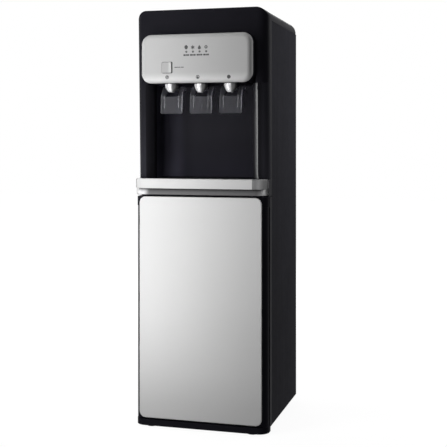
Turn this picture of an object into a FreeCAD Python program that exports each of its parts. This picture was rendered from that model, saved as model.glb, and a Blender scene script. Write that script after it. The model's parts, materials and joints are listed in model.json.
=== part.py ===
"""Bottom-loading water dispenser, in millimetres.

+X is the viewer's right, the front faces -Y and +Z is up. The origin is the centre of the footprint on
the floor. Fronts are given as setbacks from the foremost face, which is the control panel.
"""
import FreeCAD, Part
import math
import os

V = FreeCAD.Vector
os.makedirs("parts", exist_ok=True)

# Overall size
width = 325.0
depth = 374.0
height = 992.0
half = width / 2
front_y = -depth / 2
rear_y = depth / 2

# Fits
gap = 0.3             # seat clearance between neighbouring pieces
pin_play = 0.08       # radial running clearance of a pin in its bore
slide_play = 0.5      # clearance round a piece that lifts out or is pressed

# Fronts, measured back from the control panel
trim_y = front_y + 24.0
door_y = front_y + 34.5
fascia_top_y = front_y + 41.8
fascia_foot_y = front_y + 53.9
side_front_y = front_y + 66.0     # front of the bay frame, behind the door
join_y = front_y + 87.0           # where the mouldings end and the steel sides begin

# The machinery keeps its room in front of the rear panel, and the cup alcove takes the rest
rear_panel_y = rear_y - 23.0
machine_room = 185.0
alcove_back_y = rear_panel_y - machine_room

# Corner radii
plan_r = 25.0
roof_r = 28.0
door_corner_r = 15.0

# Heights above the floor
plinth_foot_z = 3.0
side_foot_z = 13.0
plinth_top_z = 17.0
door_foot_z = 20.0
bay_floor_z = 28.0
sill_z = 40.0

# Heights measured down from the top
cover_skirt = 2.0
cover_inset = 0.5
cover_edge_r = 5.0
side_top_z = height - roof_r - cover_skirt
panel_top_z = height - 62.0
ceiling_z = height - 176.0
tank_shelf_z = height - 270.0
shelf_z = height - 400.0
band_foot_z = shelf_z - 23.4
lip_top_z = shelf_z - 26.0
lip_foot_z = shelf_z - 38.5
header_top_z = shelf_z - 42.5
door_top_z = header_top_z - 0.5

# Wall thicknesses
shell_wall = 3.0
thin_wall = 2.5
steel = 1.0
flange = 12.0
past = 1.0            # how far a cutter runs past the face that it opens

# Control panel and head
panel_half = half - 28.3
panel_depth = 16.0
panel_corner_r = 23.0
panel_edge_r = 12.0
head_inset = 2.0
head_back_y = front_y + 103.0
button_x, button_z = -68.3, ceiling_z + 36.0
button_w, button_h = 26.0, 25.0
button_r = 2.6
button_edge_r = 0.8
button_travel = 2.0
key_d = 5.0
key_lip = 1.8
key_lip_t = 1.2
key_stem_r = 2.5
way_r = 3.0
board_y = front_y + 14.0
board_t = 1.6
board_left = -panel_half + 24.2
board_right = 60.0
board_foot_z = ceiling_z + 20.0
board_top_z = ceiling_z + 89.0
board_post_inset = 8.0
board_post_r = 3.0
rail_h = 12.0
switch_rise = 0.9
switch_half = 3.0
plug_x, plug_w, plug_h, plug_d = 20.0, 26.0, 10.0, 7.0
head_post_y = board_y + 14.0
light_x = (-21.0, -5.0, 11.0, 27.0)
light_z = ceiling_z + 71.5
light_r = 1.6
light_play = 0.1

# Taps: names from left to right, and their spacing
tap_names = ("hot", "room", "cold")
tap_pitch = 72.7
tap_x = (-tap_pitch, 0.0, tap_pitch)
spout_y = front_y + 46.0
spout_h = 20.7
spout_tip_z = ceiling_z - gap - spout_h
spout_r = 15.5
spout_tip_r = 7.0
spout_fall = 2.2      # power with which the nozzle narrows towards its tip
spout_neck_r = 11.5
tap_neck_z = ceiling_z - 9.0
tap_collar = 5.0
tap_collar_h = 4.0
water_r = 4.5
channel_r = 7.0
channel_bore_r = 3.5
inlet_z = ceiling_z + 30.0
barb_l = 14.0
barb_r = 4.6
barb_bore_r = 3.0
pivot_y = front_y + 67.0
pivot_z = ceiling_z - 9.0
pin_r = 2.0
stem_y = pivot_y + 22.0
stem_r = 2.4
stem_tip_z = pivot_z - 0.7
finger_top_z = stem_tip_z - 0.4
chamber_r = 9.0
chamber_wall = 3.0
seat_z = ceiling_z + 22.0
seat_r = 4.5
channel_z = ceiling_z + 14.0
tap_top_z = ceiling_z + 38.0
plug_lip = 1.6
plug_cap = 2.0
paddle_half = 27.0
paddle_notch_half = 16.3
paddle_foot_z = ceiling_z - 70.5
paddle_notch_z = ceiling_z - 30.0
paddle_wall = 3.0
paddle_corner_r = 4.0
arm_wall = 2.0
web_w = 5.0
paddle_lean = 3.0
paddle_front_y = front_y + 47.5
finger_half = 4.0
crossbar_near = 7.0
crossbar_far = 13.0
ear_inner = 12.7
ear_outer = 16.0

# Alcove
alcove_half = half - 41.0
alcove_flare = 12.0
alcove_edge_r = 19.5
alcove_back_r = 12.0

# Silver trim and drip tray
trim_back_y = trim_y + 29.0
trim_edge_r = 1.6
lip_top_inset = 5.0
lip_foot_inset = 8.5
groove_inset = 6.0
cheek_t = 6.0
trim_bulk = 12.0
pocket_half = alcove_half - 2.0
pocket_front_y = trim_y + 15.0
pocket_back_y = alcove_back_y - 5.0
pocket_floor_z = shelf_z - 28.0
pocket_r = 10.0
tray_wall = 2.0
grille_t = 3.0
slot_w = 4.0
slot_pitch = 9.0
slot_apart = 8.0
slot_margin = 14.0
slot_end = 10.5

# Door
frame_half = half - 1.2
door_edge_r = 22.0
door_rear_r = 3.0
skin_half = half - 12.8
skin_foot_z = door_foot_z + 2.2
skin_t = 3.2
skin_edge_r = 1.4
frame_y = door_y + skin_t + gap
liner_t = 2.0
liner_margin = 9.0
liner_field = 26.0
liner_field_d = 0.8
strike_w = 5.0
strike_t = 1.2
strike_outer = frame_half - 3.2
cap_foot_z = door_top_z - 23.0
door_back_y = side_front_y - 3.0
hinge_x = half - 9.5
hinge_y = side_front_y - 14.0
hinge_pin_r = 3.0
hinge_pin_l = 14.0
hinge_plate_t = 2.4
hinge_half_w = 8.5
hinge_nose = 7.0
hinge_wing = 30.0
gasket_w = 6.0
gasket_t = 2.7

# Bottle bay
bay_half = half - 17.5
catch_z = 300.0
catch_h = 44.0
catch_d = 9.0
catch_proud = 2.4
catch_outer = half - 3.0
catch_inner = half - 10.0
bottle_r = bay_half - 8.5
bottle_dip = 3.0
bottle_y = rear_panel_y - bottle_r - 1.5
sill_wall = 8.0
frame_header_h = 18.0
rib_t = 2.5
rib_pitch = 80.0

# Feet
foot_x = half - 38.5
front_foot_y = door_y + 21.0
rear_foot_y = rear_panel_y - 26.0
front_foot_r = 14.0
rear_foot_r = 17.0
rear_foot_taper = 2.5

# Deck and tanks
deck_z = header_top_z + 1.2
deck_t = 1.5
mount_h = 12.0
mount_inset = 10.0
compressor_x = -78.0
compressor_clear = 71.0       # behind the compressor, and in front of it for the pump
compressor_r = (machine_room - compressor_clear) / 2
compressor_y = rear_panel_y - compressor_r - 11.0
compressor_h = 128.0
seam_proud = 3.0
foot_plate_x = compressor_r + 5.0
foot_plate_y = compressor_r - 1.0
foot_plate_t = 3.0
stub_r = 4.5
stub_l = 6.0
hot_x = 74.0
hot_r = 50.0
hot_h = 128.0
jacket_t = 12.0
hot_y = rear_panel_y - hot_r - jacket_t - 16.0
tank_wall = 1.5
shelf_front_y = alcove_back_y + 14.0
shelf_window = 30.0
foam_t = 14.0
tank_back = 26.0              # between the cold tank and the rear panel
hose_room = 21.0              # between the alcove and the foam
cold_r = (machine_room - foam_t - tank_back - hose_room) / 2
cold_h = 150.0
cold_y = rear_panel_y - cold_r - tank_back
foam_half = cold_r + foam_t + 8.0
port_l = foam_t + 22.0
port_root = 12.0
foam_top_z = tank_shelf_z + deck_t + cold_h + 2 * foam_t + 2 * gap
port_ring = cold_r - 12.0
cold_ports = {"inlet": (10.0 - port_ring, cold_y - 26.0), "room": (-12.0, cold_y - port_ring),
              "cold": (16.0, cold_y - port_ring), "feed": (port_ring - 6.0, cold_y - 30.0)}
port_r = 4.6
port_bore_r = 3.0
port_top_z = tank_shelf_z + deck_t + foam_t + gap + cold_h - port_root + port_l + gap
hot_port = (100.0, hot_y - 36.0)
hot_port_l = 18.0
feed_x, feed_y, feed_z = half - 16.5, hot_y - 60.0, shelf_z
box_half, box_h, box_front, box_d = 70.0, 34.0, 10.0, 80.0
pump_left = -116.0
pump_can_l = 58.0
pump_can_r = 15.5
pump_head_l = 32.0
pump_head_half = 17.0
pump_port_r = 4.2
pump_port_l = 14.0
pump_port_offset = 8.0
pump_y = alcove_back_y + 25.0
pump_z = deck_z + deck_t + 20.0
hose_r = 4.0
hose_bend_r = 30.0
hose_drop_x = 20.0
hose_over = 30.0
cold_over = 36.0
feed_over = 34.0
riser_x, riser_y = -42.0, alcove_back_y + 8.0
over_y = alcove_back_y - 15.0

# Bottle probe, hung in its clip
probe_x, probe_y = half - 44.5, rear_panel_y - 29.0
probe_foot_z = bay_floor_z + 32.0
probe_top_z = header_top_z - 44.5
probe_cap_r = 24.0
probe_cap_h = 25.0
probe_cap_wall = 2.5
probe_hose_rise = 31.0
straw_r = 6.0
straw_bore_r = 4.4
clip_z = probe_top_z - 75.0
clip_h = 16.0
clip_half = 10.0

# Condenser
condenser_half = half - 44.5
condenser_foot_z = 92.0
condenser_top_z = header_top_z - 61.5
condenser_runs = 12
condenser_pitch = (condenser_top_z - condenser_foot_z) / (condenser_runs - 1)
condenser_riser = 52.0
condenser_tube_r = 2.4
condenser_bend_r = 16.0
condenser_y = rear_panel_y + 13.0
wire_r = 0.8
wire_pitch = 15.0
wire_over = 10.0
bracket_x, bracket_half, bracket_h = condenser_half - 28.0, 9.0, 12.0
line_r = 3.0
line_bend_r = 12.0
line_way_r = 7.0
capillary_r = 1.5
discharge_x, discharge_z = compressor_x + compressor_r + 17.0, shelf_z + 18.0
liquid_x, liquid_z = -134.0, shelf_z + 48.0
drier_r = 8.0
drier_y = rear_panel_y - 18.0
drier_foot_z = shelf_z
drier_top_z = shelf_z + 32.0
capillary_x = -118.0
capillary_foot_z = drier_foot_z - 12.0
capillary_top_z = tank_shelf_z + 48.0
suction_x, suction_y = -120.0, rear_panel_y - 54.0
suction_top_z = tank_shelf_z + 26.0
suction_foot_z = shelf_z + 100.0

# Small rear fittings
vent_x, vent_half, vent_h, vent_pitch, vent_rows = 70.0, 40.0, 6.0, 16.0, 9
vent_foot_z = tank_shelf_z + 38.0
low_vent_x, low_vent_half, low_vent_h, low_vent_pitch, low_vent_rows = -75.0, 45.0, 5.0, 14.0, 6
low_vent_foot_z = shelf_z + 48.0
switch_x, switch_z = half - 52.5, shelf_z + 18.0
switch_w, switch_h, switch_d = 14.0, 22.0, 16.0
switch_pitch = 24.0
switch_rim = 2.5
switch_rim_t = 2.0
rocker_tilt = 10.0
rocker_half_w = 5.8
rocker_half_h = 8.0
rocker_x = (switch_x - switch_pitch / 2, switch_x + switch_pitch / 2)
rocker_y = rear_panel_y - 2.0
rocker_pin_r = 1.2
pocket_half_h = 9.1
pocket_d = 9.0
drain_x, drain_z = 74.0, shelf_z - 9.0
drain_r = 9.0
drain_cap_l = 13.0
spigot_r = 5.0
spigot_out = 5.0
gland_x, gland_z = half - 52.5, shelf_z - 17.0
gland_r = 9.0
gland_neck_r = 7.0
gland_bore_r = 4.5
gland_rim_t = 4.0
screw_r = 3.6
screw_h = 2.2
screw_inset = 7.0
screw_rows = 6
screw_foot_z = 50.0
screw_top_z = side_top_z - 112.0


# Shape helpers

def box(x0, x1, y0, y1, z0, z1):
    return Part.makeBox(x1 - x0, y1 - y0, z1 - z0, V(x0, y0, z0))


def cylinder(x, y, z, r, length, axis=V(0, 0, 1)):
    return Part.makeCylinder(r, length, V(x, y, z), axis)


def fuse(shapes):
    body = shapes[0]
    for piece in shapes[1:]:
        body = body.fuse(piece)
    return body.removeSplitter()


def mirrored(shape):
    return shape.mirror(V(0, 0, 0), V(1, 0, 0))


def group(shapes):
    return Part.makeCompound(shapes)


def outline(corners, place):
    """Closed wire through corners (u, v, radius); a radius above 0 makes a tangent arc there."""
    edges = []
    ends = []
    count = len(corners)
    for i, (u, v, r) in enumerate(corners):
        here = V(u, v, 0)
        before = V(corners[i - 1][0], corners[i - 1][1], 0) - here
        after = V(corners[(i + 1) % count][0], corners[(i + 1) % count][1], 0) - here
        if r <= 0:
            ends.append((here, None, here))
            continue
        before.normalize()
        after.normalize()
        turn = math.pi - before.getAngle(after)
        reach = r * math.tan(turn / 2)
        inward = before + after
        inward.normalize()
        middle = here + inward * (r / math.cos(turn / 2) - r)
        ends.append((here + before * reach, middle, here + after * reach))
    for i, (start, middle, stop) in enumerate(ends):
        if middle is not None:
            edges.append(Part.Arc(place(start), place(middle), place(stop)).toShape())
        following = ends[(i + 1) % count][0]
        if (following - stop).Length > 1e-6:
            edges.append(Part.LineSegment(place(stop), place(following)).toShape())
    return Part.Wire(Part.__sortEdges__(edges))


def in_plan(z):
    return lambda p: V(p.x, p.y, z)


def in_front(y):
    return lambda p: V(p.x, y, p.y)


def in_side(x):
    return lambda p: V(x, p.x, p.y)


def slab(corners, z0, z1):
    """Plan outline made into a solid from z0 up to z1."""
    return Part.Face(outline(corners, in_plan(z0))).extrude(V(0, 0, z1 - z0))


def sheet(corners, y0, y1):
    """Front-view outline (x, z) made into a solid from y0 back to y1."""
    return Part.Face(outline(corners, in_front(y0))).extrude(V(0, y1 - y0, 0))


def bar(corners, x0, x1):
    """Side-view outline (y, z) made into a solid from x0 to x1."""
    return Part.Face(outline(corners, in_side(x0))).extrude(V(x1 - x0, 0, 0))


def u_plan(half_width, y_front, y_back, r):
    """Plan of a moulding: two rounded front corners and a square back."""
    return [(-half_width, y_back, 0), (-half_width, y_front, r), (half_width, y_front, r),
            (half_width, y_back, 0)]


def rectangle(u0, u1, v0, v1, r=0.0):
    return [(u0, v0, r), (u1, v0, r), (u1, v1, r), (u0, v1, r)]


def loft(lower, upper):
    return Part.makeLoft([lower, upper], True, True)


def fillet(shape, r, pick):
    edges = [edge for edge in shape.Edges if pick(edge)]
    return shape.makeFillet(r, edges)


def pipe_path(points, bend_r):
    """Straight runs joined by tangent arcs of the bend radius, or less where a run is too short for it."""
    runs = [points[i + 1] - points[i] for i in range(len(points) - 1)]
    edges = []
    least = 1e9
    start = points[0]
    for i in range(1, len(points) - 1):
        back = V(runs[i - 1]) * -1
        ahead = V(runs[i])
        turn = math.pi - back.getAngle(ahead)
        reach = min(0.48 * min(back.Length, ahead.Length), bend_r * math.tan(turn / 2))
        back.normalize()
        ahead.normalize()
        r = reach / math.tan(turn / 2)
        least = min(least, r)
        inward = back + ahead
        inward.normalize()
        enter = points[i] + back * reach
        leave = points[i] + ahead * reach
        middle = points[i] + inward * (r / math.cos(turn / 2) - r)
        edges.append(Part.LineSegment(start, enter).toShape())
        edges.append(Part.Arc(enter, middle, leave).toShape())
        start = leave
    edges.append(Part.LineSegment(start, points[-1]).toShape())
    return Part.Wire(edges), least


def pipe(name, points, r, bend_r):
    """Solid round tube along a route; prints its tightest bend and its volume against its length."""
    path, least = pipe_path([V(*p) for p in points], bend_r)
    first = V(*points[1]) - V(*points[0])
    ring = Part.Wire(Part.makeCircle(r, V(*points[0]), first))
    solid = path.makePipeShell([ring], True, False)
    share = solid.Volume / (math.pi * r * r * path.Length)
    print(name, "length", round(path.Length), "least radius", round(least, 1), "volume", round(share, 3))
    return solid


# Casing

def roof_outline(inset, foot_z):
    return [(-half + inset, foot_z, 0), (half - inset, foot_z, 0),
            (half - inset, height - inset, roof_r - inset), (-half + inset, height - inset, roof_r - inset)]


def fascia_block(inset, foot_z):
    """Front block whose face leans back down to the shelf, under the rolled roof, inset by a wall."""
    lean = (fascia_top_y - fascia_foot_y) / (height - shelf_z)
    near_y = fascia_foot_y + lean * (foot_z - shelf_z)
    plan = u_plan(half - inset, near_y + inset, join_y + 40.0, plan_r - inset)
    rise = height - foot_z
    block = Part.Face(outline(plan, in_plan(foot_z))).extrude(V(0, lean * rise, rise))
    return block.common(sheet(roof_outline(inset, foot_z), front_y, join_y))


def alcove_space(grow, y_back, foot_z, top_z, back_r=0.0):
    """The cup alcove's space: it opens out behind the rounded posts of its mouth, upright corners rounded
    at the back."""
    near_y = front_y - 10.0
    near_half = alcove_half + grow
    bend_y = fascia_foot_y + alcove_edge_r + 5.0
    flare = alcove_flare / (alcove_back_y - bend_y)
    far_half = alcove_half + grow + flare * (y_back - bend_y)
    return slab([(-near_half, near_y, 0), (near_half, near_y, 0), (near_half, bend_y, 0),
                 (far_half, y_back, back_r), (-far_half, y_back, back_r), (-near_half, bend_y, 0)],
                foot_z, top_z)


def alcove_mouth(grow, foot_z, top_z):
    """The mouth's rounded upright edges, leaning with the front: grown inwards by a wall for the inside."""
    lean = (fascia_top_y - fascia_foot_y) / (height - shelf_z)
    face_y = fascia_foot_y + lean * (foot_z - shelf_z) + grow
    wide = alcove_half + alcove_edge_r
    near = alcove_half + grow
    r = alcove_edge_r - grow
    plan = [(-wide, face_y - 30.0, 0), (wide, face_y - 30.0, 0), (wide, face_y, 0), (near, face_y, r),
            (near, face_y + r + 4.0, 0), (-near, face_y + r + 4.0, 0), (-near, face_y, r),
            (-wide, face_y, 0)]
    rise = top_z - foot_z
    return Part.Face(outline(plan, in_plan(foot_z))).extrude(V(0, lean * rise, rise))


def front_fascia():
    foot_z = shelf_z + gap
    space = alcove_space(0.0, alcove_back_y, foot_z - 1.0, ceiling_z, alcove_back_r)
    tub = alcove_space(thin_wall, alcove_back_y + thin_wall, foot_z, ceiling_z + thin_wall,
                       alcove_back_r + thin_wall)
    front_cut = box(-half, half, front_y - 20.0, join_y - 5.0, foot_z - 1.0, height)
    body = fascia_block(0.0, foot_z).fuse(tub.cut(front_cut))
    body = body.cut([space, alcove_mouth(0.0, foot_z - 1.0, ceiling_z)]).removeSplitter()
    hollow = fascia_block(shell_wall, foot_z + shell_wall).cut(
        [alcove_space(thin_wall, join_y + 5.0, foot_z, ceiling_z + thin_wall),
         alcove_mouth(shell_wall, foot_z, ceiling_z + thin_wall)])
    way_half = panel_half - head_inset + gap
    way_top = panel_top_z - head_inset + gap
    way_r = panel_corner_r - head_inset + gap
    head_way = sheet([(-way_half, ceiling_z - gap, 0), (way_half, ceiling_z - gap, 0),
                      (way_half, way_top, way_r), (-way_half, way_top, way_r)], front_y, head_back_y + gap)
    return body.cut(hollow).cut(head_way)


def top_cover():
    foot_z = side_top_z + gap
    start_y = join_y + gap
    body = sheet(roof_outline(cover_inset, foot_z), start_y, rear_y)
    body = fillet(body, cover_edge_r, lambda e: abs(e.CenterOfMass.y - rear_y) < 0.01
                  and e.CenterOfMass.z > foot_z + gap)
    inner = sheet(roof_outline(cover_inset + thin_wall, foot_z - past), start_y - past, rear_y - thin_wall)
    return body.cut(inner)


def side_panel_left():
    outer = box(-half, -half + flange, join_y + gap, rear_y, side_foot_z, side_top_z)
    tray = box(-half + steel, -half + flange + past, join_y + gap + steel, rear_y - steel,
               side_foot_z - past, side_top_z - steel)
    return outer.cut(tray)


def rear_panel():
    edge = half - steel - gap
    y0, y1 = rear_panel_y - past, rear_panel_y + steel + past
    seam_z = side_top_z - steel - gap
    lower = box(-edge, edge, rear_panel_y, rear_panel_y + steel, bay_floor_z + gap, seam_z)
    upper = sheet(roof_outline(cover_inset + thin_wall + gap, seam_z - past), rear_panel_y,
                  rear_panel_y + steel)
    corners = [box(low, low + flange + past, y0, y1, seam_z, side_top_z + gap)
               for low in (-half - past, half - flange)]
    body = fuse([lower, upper]).cut(corners)
    cuts = []
    for row in range(vent_rows):
        z = vent_foot_z + vent_pitch * row
        for x in (-vent_x, vent_x):
            cuts.append(sheet(rectangle(x - vent_half, x + vent_half, z, z + vent_h, 0.48 * vent_h),
                              y0, y1))
    for row in range(low_vent_rows):
        z = low_vent_foot_z + low_vent_pitch * row
        cuts.append(sheet(rectangle(low_vent_x - low_vent_half, low_vent_x + low_vent_half,
                                    z, z + low_vent_h, 0.48 * low_vent_h), y0, y1))
    cuts.append(box(rocker_x[0] - switch_w / 2 - gap, rocker_x[1] + switch_w / 2 + gap, y0, y1,
                    switch_z - switch_h / 2 - gap, switch_z + switch_h / 2 + gap))
    for x, z, r in ((drain_x, drain_z, spigot_r + 1.0), (gland_x, gland_z, gland_neck_r + gap),
                    (discharge_x, discharge_z, line_way_r), (liquid_x, liquid_z, line_way_r)):
        cuts.append(cylinder(x, y0, z, r, y1 - y0, V(0, 1, 0)))
    return body.cut(cuts)


def case_screws():
    """Pan-head screws round the rear panel."""
    heads = []
    pitch = (screw_top_z - screw_foot_z) / (screw_rows - 1)
    for x in (screw_inset - half, half - screw_inset):
        for row in range(screw_rows):
            head = cylinder(x, rear_panel_y + steel + gap, screw_foot_z + pitch * row, screw_r, screw_h,
                            V(0, 1, 0))
            heads.append(fillet(head, 0.4 * screw_h, lambda e: e.CenterOfMass.y > rear_panel_y + screw_h))
    return group(heads)


def base_pan():
    """Floor, sill and plinth. A round dip centres the bottle and goes on as a hollow in the sill's back."""
    kick = slab(u_plan(half, door_y + 2.0, side_front_y + 2 * shell_wall, plan_r),
                plinth_foot_z, plinth_top_z)
    sill = box(-half, half, side_front_y, join_y, side_foot_z, sill_z)
    inner = half - steel - gap
    floor = box(-inner, inner, join_y - past, rear_panel_y - gap, side_foot_z, bay_floor_z)
    body = fuse([kick, sill, floor])
    dip_z = bay_floor_z - bottle_dip
    dip = cylinder(0, bottle_y, dip_z, bottle_r, sill_z - dip_z + past).common(
        box(-half, half, side_front_y + sill_wall, rear_y, dip_z, sill_z + past))
    under = box(-inner + shell_wall, inner - shell_wall, side_front_y + shell_wall, rear_panel_y - 4.0,
                side_foot_z - past, dip_z - shell_wall)
    kick_under = slab(u_plan(half - shell_wall, door_y + 2.0 + shell_wall, side_front_y + shell_wall,
                             plan_r - shell_wall), plinth_foot_z - past, plinth_top_z - shell_wall)
    flanges = [box(low, low + flange + gap + past, join_y, join_y + steel + 2 * gap, side_foot_z - past,
                   bay_floor_z + past) for low in (-half - past, half - flange - gap)]
    body = body.cut([dip, under, kick_under] + flanges)
    rib_top_z = dip_z - shell_wall + past
    ribs = [box(-inner + 2.0, inner - 2.0, bottle_y + y, bottle_y + y + rib_t, side_foot_z, rib_top_z)
            for y in (-rib_pitch, 0.0, rib_pitch)]
    bosses = [cylinder(x, rear_foot_y, side_foot_z, rear_foot_r, rib_top_z - side_foot_z)
              for x in (-foot_x, foot_x)]
    pads = [cylinder(x, front_foot_y, plinth_foot_z, front_foot_r,
                     plinth_top_z - shell_wall + past - plinth_foot_z) for x in (-foot_x, foot_x)]
    return fuse([body] + ribs + bosses + pads)


def feet():
    pads = []
    for x in (-foot_x, foot_x):
        pads.append(cylinder(x, front_foot_y, 0, front_foot_r, plinth_foot_z))
        cone = Part.makeCone(rear_foot_r - rear_foot_taper, rear_foot_r, side_foot_z, V(x, rear_foot_y, 0))
        pads.append(cone)
    return group(pads)


def bay_frame():
    """Frame round the mouth of the bottle bay: two stiles and a header."""
    foot_z = sill_z + gap
    body = box(-half, half, side_front_y, join_y, foot_z, header_top_z)
    way = sheet([(-bay_half, foot_z - 1.0, 0), (bay_half, foot_z - 1.0, 0),
                 (bay_half, header_top_z - frame_header_h, 8.0),
                 (-bay_half, header_top_z - frame_header_h, 8.0)], side_front_y - 1.0, join_y + 1.0)
    pocket = box(-catch_outer - gap, -catch_inner + gap, side_front_y - 1.0, side_front_y + catch_d + gap,
                 catch_z - catch_h / 2 - gap, catch_z + catch_h / 2 + gap)
    return body.cut([way, pocket])


def magnet_catch():
    return box(-catch_outer, -catch_inner, side_front_y - catch_proud, side_front_y + catch_d,
               catch_z - catch_h / 2, catch_z + catch_h / 2)


def trim_plan(inset):
    return u_plan(half - inset, trim_y + inset, trim_back_y, plan_r + 2.0 - inset)


def tray_trim():
    """Silver band with a groove and a receding lip under it, both ending at a full cheek on each side."""
    band = slab(trim_plan(0.0), band_foot_z, shelf_z)
    band = fillet(band, trim_edge_r, lambda e: e.CenterOfMass.y < trim_back_y - gap
                  and min(abs(e.CenterOfMass.z - shelf_z), abs(e.CenterOfMass.z - band_foot_z)) < 0.01)
    groove = slab(trim_plan(groove_inset), lip_top_z, band_foot_z)
    lip = loft(outline(trim_plan(lip_foot_inset), in_plan(lip_foot_z)),
               outline(trim_plan(lip_top_inset), in_plan(lip_top_z)))
    cheeks = [slab(trim_plan(0.0), lip_foot_z, band_foot_z + past).common(
        box(side * half - cheek_t, side * half + cheek_t, trim_y, trim_back_y, lip_foot_z, shelf_z))
        for side in (-1, 1)]
    body = fuse([band, groove, lip] + cheeks)
    core = slab(u_plan(half - trim_bulk, trim_y + trim_bulk, trim_back_y + 1.0, plan_r + 2.0 - trim_bulk),
                lip_foot_z - 1.0, shelf_z + 1.0)
    w = thin_wall
    channel = slab(u_plan(half - w, trim_y + w, trim_back_y + past, plan_r + 2.0 - w),
                   band_foot_z + w, shelf_z - w)
    return body.cut([core, channel])


def tray_housing():
    foot_z = header_top_z + 3.0
    nose_y = trim_y + trim_bulk + gap
    nose = slab(u_plan(half - trim_bulk - gap, nose_y, trim_back_y + 5.0, plan_r + 2.0 - trim_bulk - gap),
                foot_z, shelf_z)
    wings = box(-half, half, trim_back_y + gap, join_y, foot_z, shelf_z)
    tail_half = alcove_half + alcove_flare + 4.0
    tail = box(-tail_half, tail_half, join_y - 1.0, alcove_back_y + 4.0, foot_z, shelf_z)
    body = fuse([nose, wings, tail])
    lower = slab(u_plan(half - trim_bulk - gap - thin_wall, nose_y + thin_wall, trim_back_y + 5.0,
                        plan_r + 2.0 - trim_bulk - gap - thin_wall), foot_z - 1.0, shelf_z - thin_wall)
    lower_wings = box(-half + thin_wall, half - thin_wall, trim_back_y + gap + thin_wall,
                      join_y - thin_wall, foot_z - 1.0, shelf_z - thin_wall)
    lower_tail = box(-tail_half + thin_wall, tail_half - thin_wall, join_y - thin_wall - 1.0,
                     alcove_back_y + 1.5, foot_z - 1.0, shelf_z - thin_wall)
    body = body.cut([lower, lower_wings, lower_tail])
    w = thin_wall
    tub = box(-pocket_half - w, pocket_half + w, pocket_front_y - w, pocket_back_y + w,
              pocket_floor_z - w, shelf_z - 1.0)
    pocket = slab(rectangle(-pocket_half, pocket_half, pocket_front_y, pocket_back_y, pocket_r),
                  pocket_floor_z, shelf_z + past)
    return fuse([body, tub]).cut(pocket)


def mid_deck():
    edge = half - steel - gap
    top = box(-edge, edge, join_y + steel + 2 * gap, rear_panel_y - gap, deck_z, deck_z + deck_t)
    sides = [box(x, x + deck_t, join_y + steel + 2 * gap, rear_panel_y - gap, deck_z - flange, deck_z)
             for x in (-edge, edge - deck_t)]
    hose_way = cylinder(hose_drop_x, pump_y - pump_port_offset, deck_z - past, hose_r + 2.0,
                        deck_t + 2 * past)
    return fuse([top] + sides).cut(hose_way)


def tank_shelf():
    edge = half - steel - gap
    top = box(-edge, edge, shelf_front_y, rear_panel_y - gap, tank_shelf_z, tank_shelf_z + deck_t)
    sides = [box(x, x + deck_t, shelf_front_y, rear_panel_y - gap, tank_shelf_z, tank_shelf_z + flange)
             for x in (-edge, edge - deck_t)]
    window = box(-shelf_window, shelf_window, shelf_front_y + 20.0, rear_panel_y - shelf_window,
                 tank_shelf_z - past, tank_shelf_z + deck_t + past)
    ways = [cylinder(x, y, tank_shelf_z - past, r + 1.5, deck_t + 2 * past)
            for x, y, r in ((hot_port[0], hot_port[1], hose_r), (feed_x, feed_y, hose_r),
                            (capillary_x, drier_y, capillary_r), (suction_x, suction_y, line_r))]
    return fuse([top] + sides).cut([window] + ways)


# Head

def panel_outline(inset):
    return rectangle(-panel_half + inset, panel_half - inset, ceiling_z + inset, panel_top_z - inset,
                     panel_corner_r - inset)


def control_panel():
    body = sheet(panel_outline(0.0), front_y, front_y + panel_depth)
    body = fillet(body, panel_edge_r, lambda e: abs(e.CenterOfMass.y - front_y) < 0.01)
    inner = sheet(panel_outline(thin_wall), front_y + thin_wall, front_y + panel_depth + 1.0)
    inner = fillet(inner, panel_edge_r - thin_wall,
                   lambda e: abs(e.CenterOfMass.y - front_y - thin_wall) < 0.01)
    way = sheet(rectangle(button_x - button_w / 2 - slide_play, button_x + button_w / 2 + slide_play,
                          button_z - button_h / 2 - slide_play, button_z + button_h / 2 + slide_play,
                          way_r),
                front_y - past, front_y + thin_wall + past)
    lights = [cylinder(x, front_y - past, light_z, light_r + light_play, thin_wall + 2 * past, V(0, 1, 0))
              for x in light_x]
    return body.cut(inner).cut([way] + lights)


def head_housing():
    """Black box behind the panel. Its floor carries the taps and the paddles' pivot ears."""
    start_y = front_y + panel_depth + gap
    outer = sheet(panel_outline(head_inset), start_y, head_back_y)
    inner = sheet(panel_outline(head_inset + thin_wall), start_y - 1.0, head_back_y + 1.0)
    floor = box(-panel_half + panel_corner_r, panel_half - panel_corner_r, start_y, head_back_y,
                ceiling_z, ceiling_z + thin_wall)
    body = fuse([outer.cut(inner), floor])
    well_half = panel_half - panel_corner_r - thin_wall
    cuts = [box(-well_half, well_half, start_y - past, head_back_y + past,
                ceiling_z + thin_wall, ceiling_z + 8.0)]
    ears = []
    for x in tap_x:
        cuts.append(cylinder(x, spout_y, ceiling_z - 1.0, spout_neck_r + slide_play, thin_wall + 6.0))
        cuts.append(cylinder(x, stem_y, ceiling_z - 1.0, stem_r + 1.2, thin_wall + 6.0))
        for side in (-1, 1):
            low, high = sorted((x + side * ear_inner, x + side * ear_outer))
            ears.append(bar([(pivot_y - 6.0, ceiling_z + 1.0, 0), (pivot_y - 5.0, pivot_z - 5.0, 4.5),
                             (pivot_y + 5.0, pivot_z - 5.0, 4.5), (pivot_y + 6.0, ceiling_z + 1.0, 0)],
                            low, high))
            cuts.append(cylinder(low - 1.0, pivot_y, pivot_z, pin_r + 0.05, high - low + 2.0, V(1, 0, 0)))
    return fuse([body] + ears).cut(cuts)


def indicator_lenses():
    return group([cylinder(x, front_y, light_z, light_r, board_y - front_y - gap, V(0, 1, 0))
                  for x in light_x])


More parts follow.
